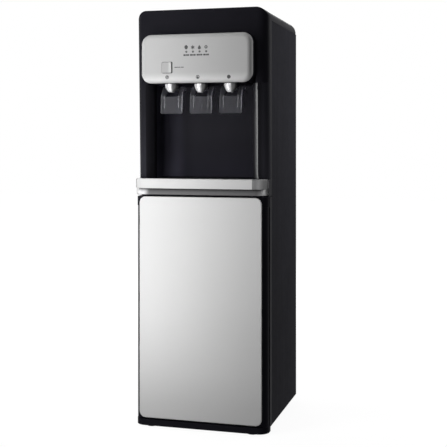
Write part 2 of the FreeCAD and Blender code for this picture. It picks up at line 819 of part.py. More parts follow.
def mode_button():
    """Rounded square key, its retaining flange behind the panel and its stem towards the switch."""
    face_y = front_y + 0.2
    key_back_y = front_y + key_d
    x0, x1 = button_x - button_w / 2, button_x + button_w / 2
    z0, z1 = button_z - button_h / 2, button_z + button_h / 2
    key = sheet(rectangle(x0, x1, z0, z1, button_r), face_y, key_back_y)
    key = fillet(key, button_edge_r, lambda e: abs(e.CenterOfMass.y - face_y) < 0.01)
    lip_y = front_y + thin_wall + gap
    lip = sheet(rectangle(x0 - key_lip, x1 + key_lip, z0 - key_lip, z1 + key_lip, way_r),
                lip_y, lip_y + key_lip_t)
    stem = cylinder(button_x, key_back_y - past, button_z, key_stem_r,
                    board_y - switch_rise - button_travel - gap - key_back_y + past, V(0, 1, 0))
    return fuse([key, lip, stem])


def display_board():
    """Board with the button's switch and a plug, held on posts from a rail across the head."""
    board = sheet(rectangle(board_left, board_right, board_foot_z, board_top_z, way_r),
                  board_y, board_y + board_t)
    switch = box(button_x - switch_half, button_x + switch_half, board_y - switch_rise, board_y,
                 button_z - switch_half, button_z + switch_half)
    plug = box(plug_x, plug_x + plug_w, board_y + board_t, board_y + board_t + plug_d,
               board_foot_z + plug_h, board_foot_z + 2 * plug_h)
    post_z = board_top_z - board_post_inset
    posts = [cylinder(x, board_y + board_t, post_z, board_post_r, head_post_y - board_y - board_t,
                      V(0, 1, 0)) for x in (board_left + board_post_inset, board_right - board_post_inset)]
    edge = panel_half - head_inset - thin_wall - gap
    rail = box(-edge, edge, head_post_y, head_post_y + 2.0, post_z - rail_h / 2, post_z + rail_h / 2)
    return fuse([board, switch, plug, rail] + posts)


# Taps

def tap_body(x):
    """Outlet column, channel, valve seat and chamber with its inlet barb."""
    column = cylinder(x, spout_y, tap_neck_z, spout_neck_r, channel_z + channel_r + 1.0 - tap_neck_z)
    collar = cylinder(x, spout_y, ceiling_z + thin_wall + gap, spout_neck_r + tap_collar, tap_collar_h)
    channel = cylinder(x, spout_y, channel_z, channel_r, stem_y - spout_y, V(0, 1, 0))
    shell_r = chamber_r + chamber_wall
    chamber = cylinder(x, stem_y, ceiling_z + thin_wall + gap, shell_r,
                       tap_top_z - ceiling_z - thin_wall - gap)
    barb = cylinder(x, stem_y, inlet_z, barb_r, shell_r + barb_l, V(0, 1, 0))
    body = fuse([column, collar, channel, chamber, barb])
    return body.cut([
        cylinder(x, spout_y, tap_neck_z - past, water_r, channel_z + channel_bore_r + past - tap_neck_z),
        cylinder(x, spout_y, channel_z, channel_bore_r, stem_y - spout_y, V(0, 1, 0)),
        cylinder(x, stem_y, channel_z - 4.0, chamber_r - 2.0, seat_z - 3.0 - channel_z + 4.0),
        cylinder(x, stem_y, seat_z - 4.0, seat_r, 5.0),
        cylinder(x, stem_y, seat_z, chamber_r, tap_top_z - 3.0 - seat_z),
        cylinder(x, stem_y, ceiling_z, stem_r + slide_play, channel_z - ceiling_z),
        cylinder(x, stem_y, inlet_z, barb_bore_r, shell_r + barb_l + past, V(0, 1, 0))])


def valve_stem(x):
    """Plug on its seat, and the stem down to the paddle's finger."""
    rod = cylinder(x, stem_y, stem_tip_z + stem_r, stem_r, seat_z - stem_tip_z)
    tip = Part.makeSphere(stem_r, V(x, stem_y, stem_tip_z + stem_r))
    plug = Part.makeCone(seat_r + plug_lip, seat_r + 2 * plug_lip, 2 * plug_cap, V(x, stem_y, seat_z + gap))
    cap = cylinder(x, stem_y, seat_z + gap + 2 * plug_cap, seat_r + plug_lip, plug_cap)
    return fuse([rod, tip, plug, cap])


def spout(x):
    """Bullet-shaped nozzle, socketed on the tap's column: its radius falls faster towards the tip."""
    top_z = ceiling_z - gap
    socket_r = spout_neck_r + gap
    socket_z = tap_neck_z - gap
    steps = 8
    bullet = [V(spout_r - (spout_r - spout_tip_r) * (i / steps) ** spout_fall, 0,
                top_z - spout_h * i / steps) for i in range(steps + 1)]
    cheek = Part.BSplineCurve()
    cheek.interpolate(bullet)
    corners = [bullet[-1], V(water_r, 0, spout_tip_z), V(water_r, 0, socket_z), V(socket_r, 0, socket_z),
               V(socket_r, 0, top_z), bullet[0]]
    edges = [cheek.toShape()] + [Part.LineSegment(a, b).toShape() for a, b in zip(corners, corners[1:])]
    solid = Part.Face(Part.Wire(edges)).revolve(V(0, 0, 0), V(0, 0, 1), 360)
    solid.translate(V(x, spout_y, 0))
    return solid


def paddle(x):
    """Clear push paddle: ribbed plate, hollow arms beside the spout, crossbar and lifting finger."""
    foot_y = paddle_front_y - paddle_lean
    w = paddle_wall
    side = [(foot_y, paddle_foot_z, 1.2), (foot_y + w, paddle_foot_z, 1.2),
            (paddle_front_y + w, paddle_notch_z, 0), (pivot_y + 3.5, pivot_z - 4.5, 3.0),
            (pivot_y + 4.0, pivot_z + 3.5, 3.0), (pivot_y - 3.0, pivot_z + 3.5, 2.5),
            (paddle_front_y, paddle_notch_z + 4.0, 8.0)]
    front = sheet([(x - paddle_half, paddle_foot_z, paddle_corner_r),
                   (x + paddle_half, paddle_foot_z, paddle_corner_r),
                   (x + paddle_half, pivot_z + 5.0, 0), (x - paddle_half, pivot_z + 5.0, 0)],
                  foot_y - 5.0, pivot_y + 10.0)
    notch = sheet(rectangle(x - paddle_notch_half, x + paddle_notch_half,
                            paddle_notch_z, pivot_z + 20.0, 3.0), foot_y - 20.0, pivot_y + 20.0)
    hollow_side = [(paddle_front_y + 3.4, paddle_notch_z + 4.5, 0), (pivot_y - 1.0, pivot_z + 2.0, 0),
                   (pivot_y + 10.0, pivot_z + 2.0, 0), (pivot_y + 10.0, paddle_notch_z + 4.5, 0)]
    hollows = [bar(hollow_side, x0, x0 + paddle_half - paddle_notch_half - 2 * arm_wall)
               for x0 in (x - paddle_half + arm_wall, x + paddle_notch_half + arm_wall)]
    body = bar(side, x - paddle_half, x + paddle_half).common(front).cut([notch] + hollows)
    rib_path = [(foot_y + w - 0.5, paddle_foot_z + 6.0, 0), (foot_y + w + 5.0, paddle_foot_z + 12.0, 3.0),
                (paddle_front_y + w + 6.0, paddle_notch_z + 2.0, 6.0), (pivot_y - 1.0, pivot_z - 6.0, 0),
                (paddle_front_y + w - 1.0, paddle_notch_z, 0)]
    ribs = [bar(rib_path, x0, x0 + arm_wall) for x0 in (x - paddle_half, x + paddle_half - arm_wall)]
    bar_y0, bar_y1 = pivot_y + crossbar_near, pivot_y + crossbar_far
    crossbar = bar(rectangle(bar_y0, bar_y1, pivot_z - 6.0, finger_top_z, 1.0),
                   x - paddle_half, x + paddle_half)
    webs = [bar([(pivot_y, pivot_z - 4.0, 0), (bar_y0 + 2.0, pivot_z - 5.5, 0),
                 (bar_y0 + 2.0, finger_top_z, 0), (pivot_y, pivot_z + 3.0, 0)], x0, x0 + web_w)
            for x0 in (x - paddle_half, x + paddle_half - web_w)]
    finger = bar([(bar_y0 + 1.0, pivot_z - 5.0, 0), (stem_y + 4.0, pivot_z - 3.5, 1.0),
                  (stem_y + 4.0, finger_top_z, 1.0), (bar_y0 + 1.0, finger_top_z, 0)],
                 x - finger_half, x + finger_half)
    bore = cylinder(x - paddle_half - past, pivot_y, pivot_z, pin_r + pin_play,
                    2 * paddle_half + 2 * past, V(1, 0, 0))
    return fuse([body] + ribs + [crossbar, finger] + webs).cut(bore)


def paddle_pins():
    reach = paddle_half - 1.0
    return group([cylinder(x - reach, pivot_y, pivot_z, pin_r, 2 * reach, V(1, 0, 0)) for x in tap_x])


# Drip tray

def drip_tray():
    p = slide_play
    edge = pocket_half - p
    y0, y1 = pocket_front_y + p, pocket_back_y - p
    top_z = shelf_z - gap - grille_t - gap
    outer = slab(rectangle(-edge, edge, y0, y1, pocket_r - p), pocket_floor_z + gap, top_z)
    w = tray_wall
    inner = slab(rectangle(-edge + w, edge - w, y0 + w, y1 - w, pocket_r - p - w),
                 pocket_floor_z + gap + w, top_z + past)
    return outer.cut(inner)


def drip_grille():
    p = slide_play
    edge = pocket_half - p
    y0, y1 = pocket_front_y + p, pocket_back_y - p
    top_z = shelf_z - gap
    plate = slab(rectangle(-edge, edge, y0, y1, pocket_r - p), top_z - grille_t, top_z)
    slots = []
    count = int((edge - slot_margin) / slot_pitch)
    middle_y = (y0 + y1) / 2
    slot_length = (y1 - y0 - slot_apart) / 2 - slot_end
    reach = (slot_length + slot_apart) / 2
    for row_y in (middle_y - reach, middle_y + reach):
        for i in range(-count, count + 1):
            slots.append(box(i * slot_pitch - slot_w / 2, i * slot_pitch + slot_w / 2,
                             row_y - slot_length / 2, row_y + slot_length / 2, top_z - grille_t - past,
                             top_z + past))
    return plate.cut(slots)


# Door

def door_plan(half_width, y_front, r):
    return [(-half_width, door_back_y, door_rear_r), (-half_width, y_front, r), (half_width, y_front, r),
            (half_width, door_back_y, door_rear_r)]


def door_frame():
    body = slab(door_plan(frame_half, frame_y, door_edge_r), door_foot_z, cap_foot_z)
    hollow = box(-frame_half + liner_margin + 5.0, frame_half - liner_margin - 8.0, frame_y + shell_wall,
                 door_back_y + 1.0, door_foot_z + 14.0, cap_foot_z - 6.0)
    seat = box(-frame_half + liner_margin, frame_half - liner_margin, door_back_y - liner_t - gap,
               door_back_y + past, door_foot_z + liner_margin, cap_foot_z + past)
    bore = cylinder(hinge_x, hinge_y, door_foot_z - 1.0, hinge_pin_r + pin_play, hinge_pin_l + 1.0)
    recess = box(-strike_outer - gap, -strike_outer + strike_w + gap, door_back_y - strike_t - gap,
                 door_back_y + 1.0, catch_z - catch_h / 2 - gap, catch_z + catch_h / 2 + gap)
    return body.cut([hollow, seat, bore, recess])


def door_top_cap():
    body = slab(door_plan(half, frame_y, door_edge_r), cap_foot_z + gap, door_top_z)
    seat = box(-frame_half + liner_margin, frame_half - liner_margin, door_back_y - liner_t - gap,
               door_back_y + past, cap_foot_z, door_top_z - liner_margin)
    bore = cylinder(hinge_x, hinge_y, door_top_z - hinge_pin_l, hinge_pin_r + pin_play, hinge_pin_l + 1.0)
    return body.cut([seat, bore])


def door_skin():
    body = sheet(rectangle(-skin_half, skin_half, skin_foot_z, door_top_z, door_corner_r),
                 door_y, door_y + skin_t)
    return fillet(body, skin_edge_r, lambda e: abs(e.CenterOfMass.y - door_y) < 0.01)


def door_liner():
    """Inner panel with a shallow pressed field."""
    edge = frame_half - liner_margin - gap
    z0, z1 = door_foot_z + liner_margin + gap, door_top_z - liner_margin - gap
    plate = box(-edge, edge, door_back_y - liner_t, door_back_y, z0, z1)
    inset = liner_field
    field = sheet(rectangle(-edge + inset, edge - inset, z0 + inset, z1 - inset, 10.0),
                  door_back_y - liner_field_d, door_back_y + past)
    return plate.cut(field)


def door_strike():
    return box(-strike_outer, -strike_outer + strike_w, door_back_y - strike_t, door_back_y,
               catch_z - catch_h / 2, catch_z + catch_h / 2)


def door_gasket():
    """Seal ring on the liner, opposite the face of the bay frame and the sill."""
    edge = frame_half - liner_margin - 2 * gap
    z0, z1 = door_foot_z + liner_margin + 2 * gap, door_top_z - liner_margin - 2 * gap
    outer = sheet(rectangle(-edge, edge, z0, z1, gasket_w), door_back_y, door_back_y + gasket_t)
    w = gasket_w
    inner = sheet(rectangle(-edge + w, edge - w, z0 + w, z1 - w, w / 3), door_back_y - past,
                  door_back_y + gasket_t + past)
    return outer.cut(inner)


def door_hinges():
    """Top and bottom hinge plates, each with its pin."""
    plate = u_plan(hinge_half_w, hinge_y - hinge_nose, side_front_y - 2.0, hinge_nose - past)
    arm = [(u + hinge_x, v, r) for u, v, r in plate]
    top_plate_z = header_top_z + gap
    top = slab(arm, top_plate_z, top_plate_z + hinge_plate_t).fuse(
        box(hinge_x - hinge_wing, hinge_x + hinge_half_w, side_front_y - 2.0, join_y - 1.0,
            top_plate_z, top_plate_z + hinge_plate_t))
    top = top.fuse(cylinder(hinge_x, hinge_y, door_top_z - hinge_pin_l + 1.0, hinge_pin_r,
                            top_plate_z - door_top_z + hinge_pin_l - 1.0 + 0.5))
    foot_plate_z = plinth_top_z + gap
    foot = slab(arm, foot_plate_z, foot_plate_z + hinge_plate_t - 0.4)
    foot = foot.fuse(cylinder(hinge_x, hinge_y, foot_plate_z, hinge_pin_r,
                              door_foot_z + hinge_pin_l - 1.0 - foot_plate_z))
    return group([top.removeSplitter(), foot.removeSplitter()])


# Cooling and heating

def compressor():
    """Welded steel shell: cup, seam flange and domed lid with two pipe stubs, on a stamped foot plate."""
    z0 = deck_z + deck_t + mount_h
    cup_z = z0 + foot_plate_t + 1.0
    cx, cy, r = compressor_x, compressor_y, compressor_r
    seam_z = cup_z + compressor_h * 0.52
    cup = fillet(cylinder(cx, cy, cup_z, r, seam_z - cup_z), 0.28 * r,
                 lambda e: abs(e.CenterOfMass.z - cup_z) < 0.01)
    seam = cylinder(cx, cy, seam_z - 2.0, r + seam_proud, 4.0)
    lid = fillet(cylinder(cx, cy, seam_z, r - 1.0, compressor_h * 0.42), 0.53 * r,
                 lambda e: e.CenterOfMass.z > seam_z + 10.0)
    plate = slab(rectangle(cx - foot_plate_x, cx + foot_plate_x, cy - foot_plate_y, cy + foot_plate_y,
                           mount_inset), z0, z0 + foot_plate_t)
    neck = cylinder(cx, cy, z0, 0.52 * r, 2 * (cup_z - z0))
    discharge = cylinder(cx, cy, discharge_z, stub_r, r + stub_l, V(1, 0, 0))
    suction = cylinder(suction_x, suction_y, seam_z, stub_r, suction_foot_z - seam_z)
    holes = [cylinder(x, y, z0 - past, 4.0, foot_plate_t + 2 * past) for x, y in mount_places()]
    return fuse([cup, seam, lid, plate, neck, discharge, suction]).cut(holes)


def mount_places():
    reach_x, reach_y = foot_plate_x - mount_inset, foot_plate_y - mount_inset
    return [(compressor_x + sx * reach_x, compressor_y + sy * reach_y) for sx in (-1, 1) for sy in (-1, 1)]


def compressor_mounts():
    """Four rubber grommets under the compressor's foot plate, each with its stud."""
    z0 = deck_z + deck_t
    return group([fuse([cylinder(x, y, z0, 8.5, 4.5), cylinder(x, y, z0, 6.5, mount_h),
                        cylinder(x, y, z0, 3.6, mount_h + foot_plate_t + 2.0)]) for x, y in mount_places()])


def round_edges(solid, r, edge_r):
    """Rounds the two end circles of a drum of radius r."""
    return fillet(solid, edge_r, lambda e: e.Length > 4 * r)


def vessel(x, y, z0, r, length, edge_r):
    """Closed sheet-metal tank and the space inside it."""
    shell = round_edges(cylinder(x, y, z0, r, length), r, edge_r)
    inner_r = r - tank_wall
    space = round_edges(cylinder(x, y, z0 + tank_wall, inner_r, length - 2 * tank_wall),
                        inner_r, edge_r - tank_wall)
    return shell, space


def hot_tank():
    """Steel tank with its outlet and the drain spigot that leaves through the back."""
    z0 = deck_z + deck_t + jacket_t
    shell, space = vessel(hot_x, hot_y, z0, hot_r, hot_h, jacket_t)
    spigot_y = hot_y + hot_r - 4.0
    spigot = cylinder(drain_x, spigot_y, drain_z, spigot_r, rear_panel_y + steel + spigot_out - spigot_y,
                      V(0, 1, 0))
    outlet = cylinder(hot_port[0], hot_port[1], z0 + hot_h - port_root, port_r, jacket_t + hot_port_l)
    outlet_bore = cylinder(hot_port[0], hot_port[1], z0 + hot_h - port_root - past, port_bore_r,
                           jacket_t + hot_port_l + 2 * past)
    spigot_bore = cylinder(drain_x, spigot_y - past, drain_z, port_bore_r, machine_room, V(0, 1, 0))
    return fuse([shell, spigot, outlet]).cut([space, outlet_bore, spigot_bore])


def hot_tank_jacket():
    """Insulation round the hot tank, with ways for the outlet, the drain and the feed."""
    z0 = deck_z + deck_t
    r = hot_r + jacket_t
    outer = round_edges(cylinder(hot_x, hot_y, z0, r, hot_h + 2 * jacket_t), r, 0.7 * jacket_t)
    tank_space = cylinder(hot_x, hot_y, z0 + jacket_t - gap, hot_r + gap, hot_h + 2 * gap)
    outlet_way = cylinder(hot_port[0], hot_port[1], z0 + hot_h, port_r + gap, 3 * jacket_t)
    drain_way = cylinder(drain_x, hot_y, drain_z, spigot_r + gap, r + past, V(0, 1, 0))
    return outer.cut([tank_space, outlet_way, drain_way])


def cold_tank():
    """Steel tank with its four ports through the foam above."""
    z0 = tank_shelf_z + deck_t + foam_t + gap
    shell, space = vessel(0, cold_y, z0, cold_r, cold_h, port_root - 2.0)
    port_z = z0 + cold_h - port_root
    ports = [cylinder(x, y, port_z, port_r, port_l) for x, y in cold_ports.values()]
    bores = [cylinder(x, y, port_z - past, port_bore_r, port_l + 2 * past) for x, y in cold_ports.values()]
    return fuse([shell] + ports).cut([space] + bores)


def cold_tank_foam():
    """Moulded foam block round the cold tank and its evaporator."""
    z0 = tank_shelf_z + deck_t
    block = slab(rectangle(-foam_half, foam_half, cold_y - cold_r - foam_t, rear_panel_y - gap, foam_t),
                 z0, foam_top_z)
    space = cylinder(0, cold_y, z0 + foam_t, cold_r + gap, cold_h + 2 * gap)
    ports = [cylinder(x, y, z0 + cold_h, port_r + gap, cold_h) for x, y in cold_ports.values()]
    return block.cut([space] + ports)


def control_box():
    z0 = foam_top_z + gap
    body = box(-box_half, box_half, cold_y - box_front, cold_y - box_front + box_d, z0, z0 + box_h)
    return fillet(body, 3.0, lambda e: abs(e.CenterOfMass.z - z0 - box_h / 2) < 0.1)


def water_pump():
    """Diaphragm pump lying on the deck: motor can, pump head and two ports."""
    head_x = pump_left + pump_can_l
    head_end = head_x + pump_head_l
    h = pump_head_half
    can = cylinder(pump_left, pump_y, pump_z, pump_can_r, pump_can_l, V(1, 0, 0))
    head = box(head_x, head_end, pump_y - h, pump_y + h, pump_z - h, pump_z + h)
    head = fillet(head, 4.0, lambda e: abs(e.CenterOfMass.x - (head_x + head_end) / 2) < 0.1)
    ports = [cylinder(head_end - 0.5, pump_y - pump_port_offset, pump_z, pump_port_r, pump_port_l,
                      V(1, 0, 0)),
             cylinder(riser_x, pump_y, pump_z + h - 1.0, pump_port_r, pump_port_l)]
    foot = box(pump_left + 4.0, head_end - 8.0, pump_y - 12.0, pump_y + 12.0,
               deck_z + deck_t, pump_z - 14.0)
    return fuse([can, head, foot] + ports)


def tap_route(name, x, over_z):
    """From a port on the cold tank, over the foam and down to the inlet of the tap at x."""
    px, py = cold_ports[name]
    return [(px, py, port_top_z), (px, py, over_z), (x, over_y, over_z), (x, over_y, inlet_z),
            (x, stem_y + chamber_r + chamber_wall + barb_l + gap, inlet_z)]


def water_hoses():
    """Probe to pump, pump to cold tank, cold tank to its taps and to the hot tank, hot tank to its tap."""
    px, py = cold_ports["inlet"]
    fx, fy = cold_ports["feed"]
    hx, hy = hot_port
    reach = math.hypot(feed_x - hot_x, feed_y - hot_y)
    stop = (hot_r + jacket_t + gap) / reach
    hot_inlet = (hot_x + (feed_x - hot_x) * stop, hot_y + (feed_y - hot_y) * stop, feed_z)
    low_z = ceiling_z + thin_wall + 10.0
    barb_y = stem_y + chamber_r + chamber_wall + barb_l + gap
    pump_out_x = pump_left + pump_can_l + pump_head_l - 0.5 + pump_port_l + gap
    pump_out_y = pump_y - pump_port_offset
    pump_up_z = pump_z + pump_head_half - 1.0 + pump_port_l + gap
    probe_over_z = probe_top_z + probe_hose_rise
    hot_out_z = deck_z + deck_t + jacket_t + hot_h - port_root + jacket_t + hot_port_l + gap
    over_z = port_top_z + hose_over
    routes = {
        "suction": [(pump_out_x, pump_out_y, pump_z), (hose_drop_x, pump_out_y, pump_z),
                    (hose_drop_x, pump_out_y, probe_over_z), (probe_x, probe_y, probe_over_z),
                    (probe_x, probe_y, probe_top_z + gap)],
        "riser": [(riser_x, pump_y, pump_up_z), (riser_x, pump_y, pump_z + 66.0),
                  (riser_x, riser_y, pump_z + 106.0), (riser_x, riser_y, over_z),
                  (px, py, over_z), (px, py, port_top_z)],
        "room": tap_route("room", tap_x[1], over_z),
        "cold": tap_route("cold", tap_x[2], port_top_z + cold_over),
        "feed": [(fx, fy, port_top_z), (fx, fy, port_top_z + feed_over),
                 (feed_x, feed_y, port_top_z + feed_over), (feed_x, feed_y, feed_z), hot_inlet],
        "hot": [(hx, hy, hot_out_z), (hx, hy, low_z), (hx, over_y, low_z), (tap_x[0] + 20.0, over_y, low_z),
                (tap_x[0], over_y, inlet_z), (tap_x[0], barb_y, inlet_z)]}
    return group([pipe(name + " hose", route, hose_r, hose_bend_r) for name, route in routes.items()])


def bottle_probe():
    """Cap that sits on a bottle's neck, and the straw that reaches its floor."""
    cap = cylinder(probe_x, probe_y, probe_top_z - probe_cap_h, probe_cap_r, probe_cap_h)
    cap = fillet(cap, 4.0, lambda e: e.Length > 100.0 and e.CenterOfMass.z > probe_top_z - 1.0)
    under = cylinder(probe_x, probe_y, probe_top_z - probe_cap_h - past, probe_cap_r - probe_cap_wall,
                     probe_cap_h + past - probe_cap_wall)
    straw = cylinder(probe_x, probe_y, probe_foot_z, straw_r, probe_top_z - 1.0 - probe_foot_z)
    bore = cylinder(probe_x, probe_y, probe_foot_z - 1.0, straw_bore_r, probe_top_z - probe_foot_z - 4.0)
    return fuse([cap.cut(under), straw]).cut(bore)


def probe_clip():
    """Spring clip on the back wall that grips the straw."""
    block = box(probe_x - clip_half, probe_x + clip_half, probe_y - 3.5, rear_panel_y - gap,
                clip_z, clip_z + clip_h)
    grip = cylinder(probe_x, probe_y, clip_z - past, straw_r + gap, clip_h + 2 * past)
    web = [box(side * 6.3 + probe_x - 2.6, side * 6.3 + probe_x + 2.6, probe_y + clip_half,
               rear_panel_y - 4.0, clip_z - past, clip_z + clip_h + past) for side in (-1, 1)]
    return block.cut([grip] + web)


# Refrigeration

def condenser():
    """Serpentine tube behind the back panel, with a riser at each end."""
    y = condenser_y
    riser_top_z = condenser_top_z + condenser_riser
    points = [(discharge_x, y, riser_top_z), (discharge_x, y, condenser_top_z)]
    side = 1
    for run in range(condenser_runs):
        z = condenser_top_z - condenser_pitch * run
        if run > 0:
            points.append((-side * condenser_half, y, z))
        if run < condenser_runs - 1:
            points.append((side * condenser_half, y, z))
        side = -side
    points.append((liquid_x, y, condenser_foot_z))
    points.append((liquid_x, y, riser_top_z))
    print_self_gap(points, condenser_tube_r, condenser_bend_r)
    return pipe("condenser", points, condenser_tube_r, condenser_bend_r)


def print_self_gap(points, r, bend_r):
    """Least gap between stretches of a tube that lie more than a half turn apart along it."""
    path, least = pipe_path([V(*p) for p in points], bend_r)
    step = 2 * r
    places = path.discretize(Number=int(path.Length / step))
    apart = int((math.pi * least + 8 * r) / step)
    nearest = min((a - b).Length for i, a in enumerate(places) for b in places[i + apart:])
    print("least gap of the tube to itself", round(nearest - 2 * r, 2))


def condenser_wires():
    """Steel wires across both faces of the serpentine, and the four feet on the back panel."""
    low_z = condenser_foot_z - wire_over
    high_z = condenser_top_z + wire_over
    away = condenser_tube_r + wire_r + 0.1
    count = int((condenser_half - wire_over) / wire_pitch)
    near, far = [[cylinder(i * wire_pitch, condenser_y + side * away, low_z, wire_r, high_z - low_z)
                  for i in range(-count, count + 1)] for side in (-1, 1)]
    blocks = [box(x - bracket_half, x + bracket_half, rear_panel_y + steel + gap, condenser_y - away,
                  z, z + bracket_h)
              for x in (-bracket_x, bracket_x) for z in (low_z + bracket_h / 2, high_z - 2 * bracket_h)]
    return group(list(fuse(blocks + near).Solids) + far)


def refrigerant_lines():
    """Discharge, liquid, capillary and suction lines, and the filter drier."""
    y = condenser_y
    top_z = condenser_top_z + condenser_riser + gap
    stub_end_x = compressor_x + compressor_r + stub_l + gap
    foam_x = -foam_half - gap
    routes = {
        "discharge line": [(stub_end_x, compressor_y, discharge_z),
                           (discharge_x, compressor_y, discharge_z),
                           (discharge_x, y, discharge_z), (discharge_x, y, top_z)],
        "liquid line": [(liquid_x, y, top_z), (liquid_x, y, liquid_z), (liquid_x, drier_y, liquid_z),
                        (liquid_x, drier_y, drier_top_z - 1.0)],
        "suction line": [(foam_x, suction_y, suction_top_z), (suction_x, suction_y, suction_top_z),
                         (suction_x, suction_y, suction_foot_z + gap)]}
    discharge, liquid, suction = [pipe(name, route, line_r, line_bend_r) for name, route in routes.items()]
    capillary = pipe("capillary", [(liquid_x, drier_y, drier_foot_z + 1.0),
                                   (liquid_x, drier_y, capillary_foot_z),
                                   (capillary_x, drier_y, capillary_foot_z),
                                   (capillary_x, drier_y, capillary_top_z),
                                   (foam_x, drier_y, capillary_top_z)], capillary_r, line_bend_r)
    drier = cylinder(liquid_x, drier_y, drier_foot_z, drier_r, drier_top_z - drier_foot_z)
    drier = fillet(drier, 0.6 * drier_r, lambda e: e.Length > 5 * drier_r)
    return group([discharge, fuse([liquid, capillary, drier]), suction])


# Rear fittings

def switch_housing():
    """Twin rocker housing: rim outside the back panel, body through it, a pin across each pocket."""
    half_w = switch_pitch / 2 + switch_w / 2
    body = box(switch_x - half_w, switch_x + half_w, rear_panel_y - switch_d,
               rear_panel_y + steel + gap + past,
               switch_z - switch_h / 2, switch_z + switch_h / 2)
    rim_half_w, rim_half_h = half_w + switch_rim, switch_h / 2 + switch_rim
    rim = sheet(rectangle(switch_x - rim_half_w, switch_x + rim_half_w,
                          switch_z - rim_half_h, switch_z + rim_half_h, switch_rim - 0.5),
                rear_panel_y + steel + gap, rear_panel_y + steel + gap + switch_rim_t)
    pockets = [box(x - rocker_half_w - gap, x + rocker_half_w + gap, rocker_y - pocket_d, rear_y,
                   switch_z - pocket_half_h, switch_z + pocket_half_h) for x in rocker_x]
    pin = cylinder(switch_x - half_w + 0.5, rocker_y, switch_z, rocker_pin_r, 2 * half_w - 1.0, V(1, 0, 0))
    return fuse([fuse([body, rim]).cut(pockets), pin])


def rocker(x):
    """Rocker at its off position, tilted about its pin."""
    h = rocker_half_h
    profile = [(rocker_y - 1.5, switch_z - h, 0), (rocker_y - 6.0, switch_z, 2.0),
               (rocker_y - 1.5, switch_z + h, 0), (rocker_y + 4.5, switch_z + h, 0.8),
               (rocker_y + 3.5, switch_z, 0), (rocker_y + 4.5, switch_z - h, 0.8)]
    body = bar(profile, x - rocker_half_w, x + rocker_half_w)
    body = body.cut(cylinder(x - rocker_half_w - past, rocker_y, switch_z, rocker_pin_r + pin_play,
                             2 * (rocker_half_w + past), V(1, 0, 0)))
    body.rotate(V(0, rocker_y, switch_z), V(1, 0, 0), -rocker_tilt)
    return body


def drain_cap():
    """Cap over the hot tank's drain spigot."""
    face_y = rear_panel_y + steel + gap
    cap = cylinder(drain_x, face_y, drain_z, drain_r, drain_cap_l, V(0, 1, 0))
    cap = fillet(cap, 1.5, lambda e: e.CenterOfMass.y > face_y + drain_cap_l - 1.0)
    bore = cylinder(drain_x, face_y - past, drain_z, spigot_r + pin_play, spigot_out + past, V(0, 1, 0))
    return cap.cut(bore)


def cord_gland():
    """Bush of the mains inlet: rim outside, nut inside, open bore."""
    face_y = rear_panel_y + steel + gap
    t = gland_rim_t
    rim = cylinder(gland_x, face_y, gland_z, gland_r, t, V(0, 1, 0))
    rim = fillet(rim, 0.3 * t, lambda e: e.CenterOfMass.y > face_y + t - 1.0)
    neck = cylinder(gland_x, rear_panel_y - 1.5 * t, gland_z, gland_neck_r, 2.25 * t, V(0, 1, 0))
    nut = cylinder(gland_x, rear_panel_y - gap - t, gland_z, gland_r, t, V(0, 1, 0))
    bore = cylinder(gland_x, rear_panel_y - 2 * t, gland_z, gland_bore_r, 5 * t, V(0, 1, 0))
    return fuse([rim, neck, nut]).cut(bore)


def export(name, shape):
    shape.exportStep("parts/" + name + ".step")
    print(name, shape.isValid(), len(shape.Solids))


def main():
    left = side_panel_left()
    export("side_panel_left", left)
    export("side_panel_right", mirrored(left))
    for build in (front_fascia, top_cover, rear_panel, case_screws, base_pan, feet, bay_frame, magnet_catch,
                  tray_trim, tray_housing, mid_deck, tank_shelf, control_panel, head_housing,
                  indicator_lenses, mode_button, display_board, paddle_pins, drip_tray, drip_grille,
                  door_frame, door_top_cap, door_skin, door_liner, door_strike, door_gasket, door_hinges,
                  compressor, compressor_mounts, hot_tank, hot_tank_jacket, cold_tank, cold_tank_foam,
                  control_box, water_pump, water_hoses, bottle_probe, probe_clip, condenser,
                  condenser_wires, refrigerant_lines, switch_housing, drain_cap, cord_gland):
        export(build.__name__, build())
    for name, x in zip(("hot_switch", "cold_switch"), rocker_x):
        export(name, rocker(x))
    for name, x in zip(tap_names, tap_x):
        export("tap_body_" + name, tap_body(x))
        export("valve_stem_" + name, valve_stem(x))
        export("spout_" + name, spout(x))
        export("paddle_" + name, paddle(x))


main()
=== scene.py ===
"""Studio scene of a bottom-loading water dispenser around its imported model.

Shapes are worked out in millimetres, x to the viewer's right, the front towards -y and z up, and go
into their meshes in metres. Materials, lamps and the camera are set in metres.
"""
import json
import math
import bmesh
import bpy
import numpy as np
from mathutils import Matrix

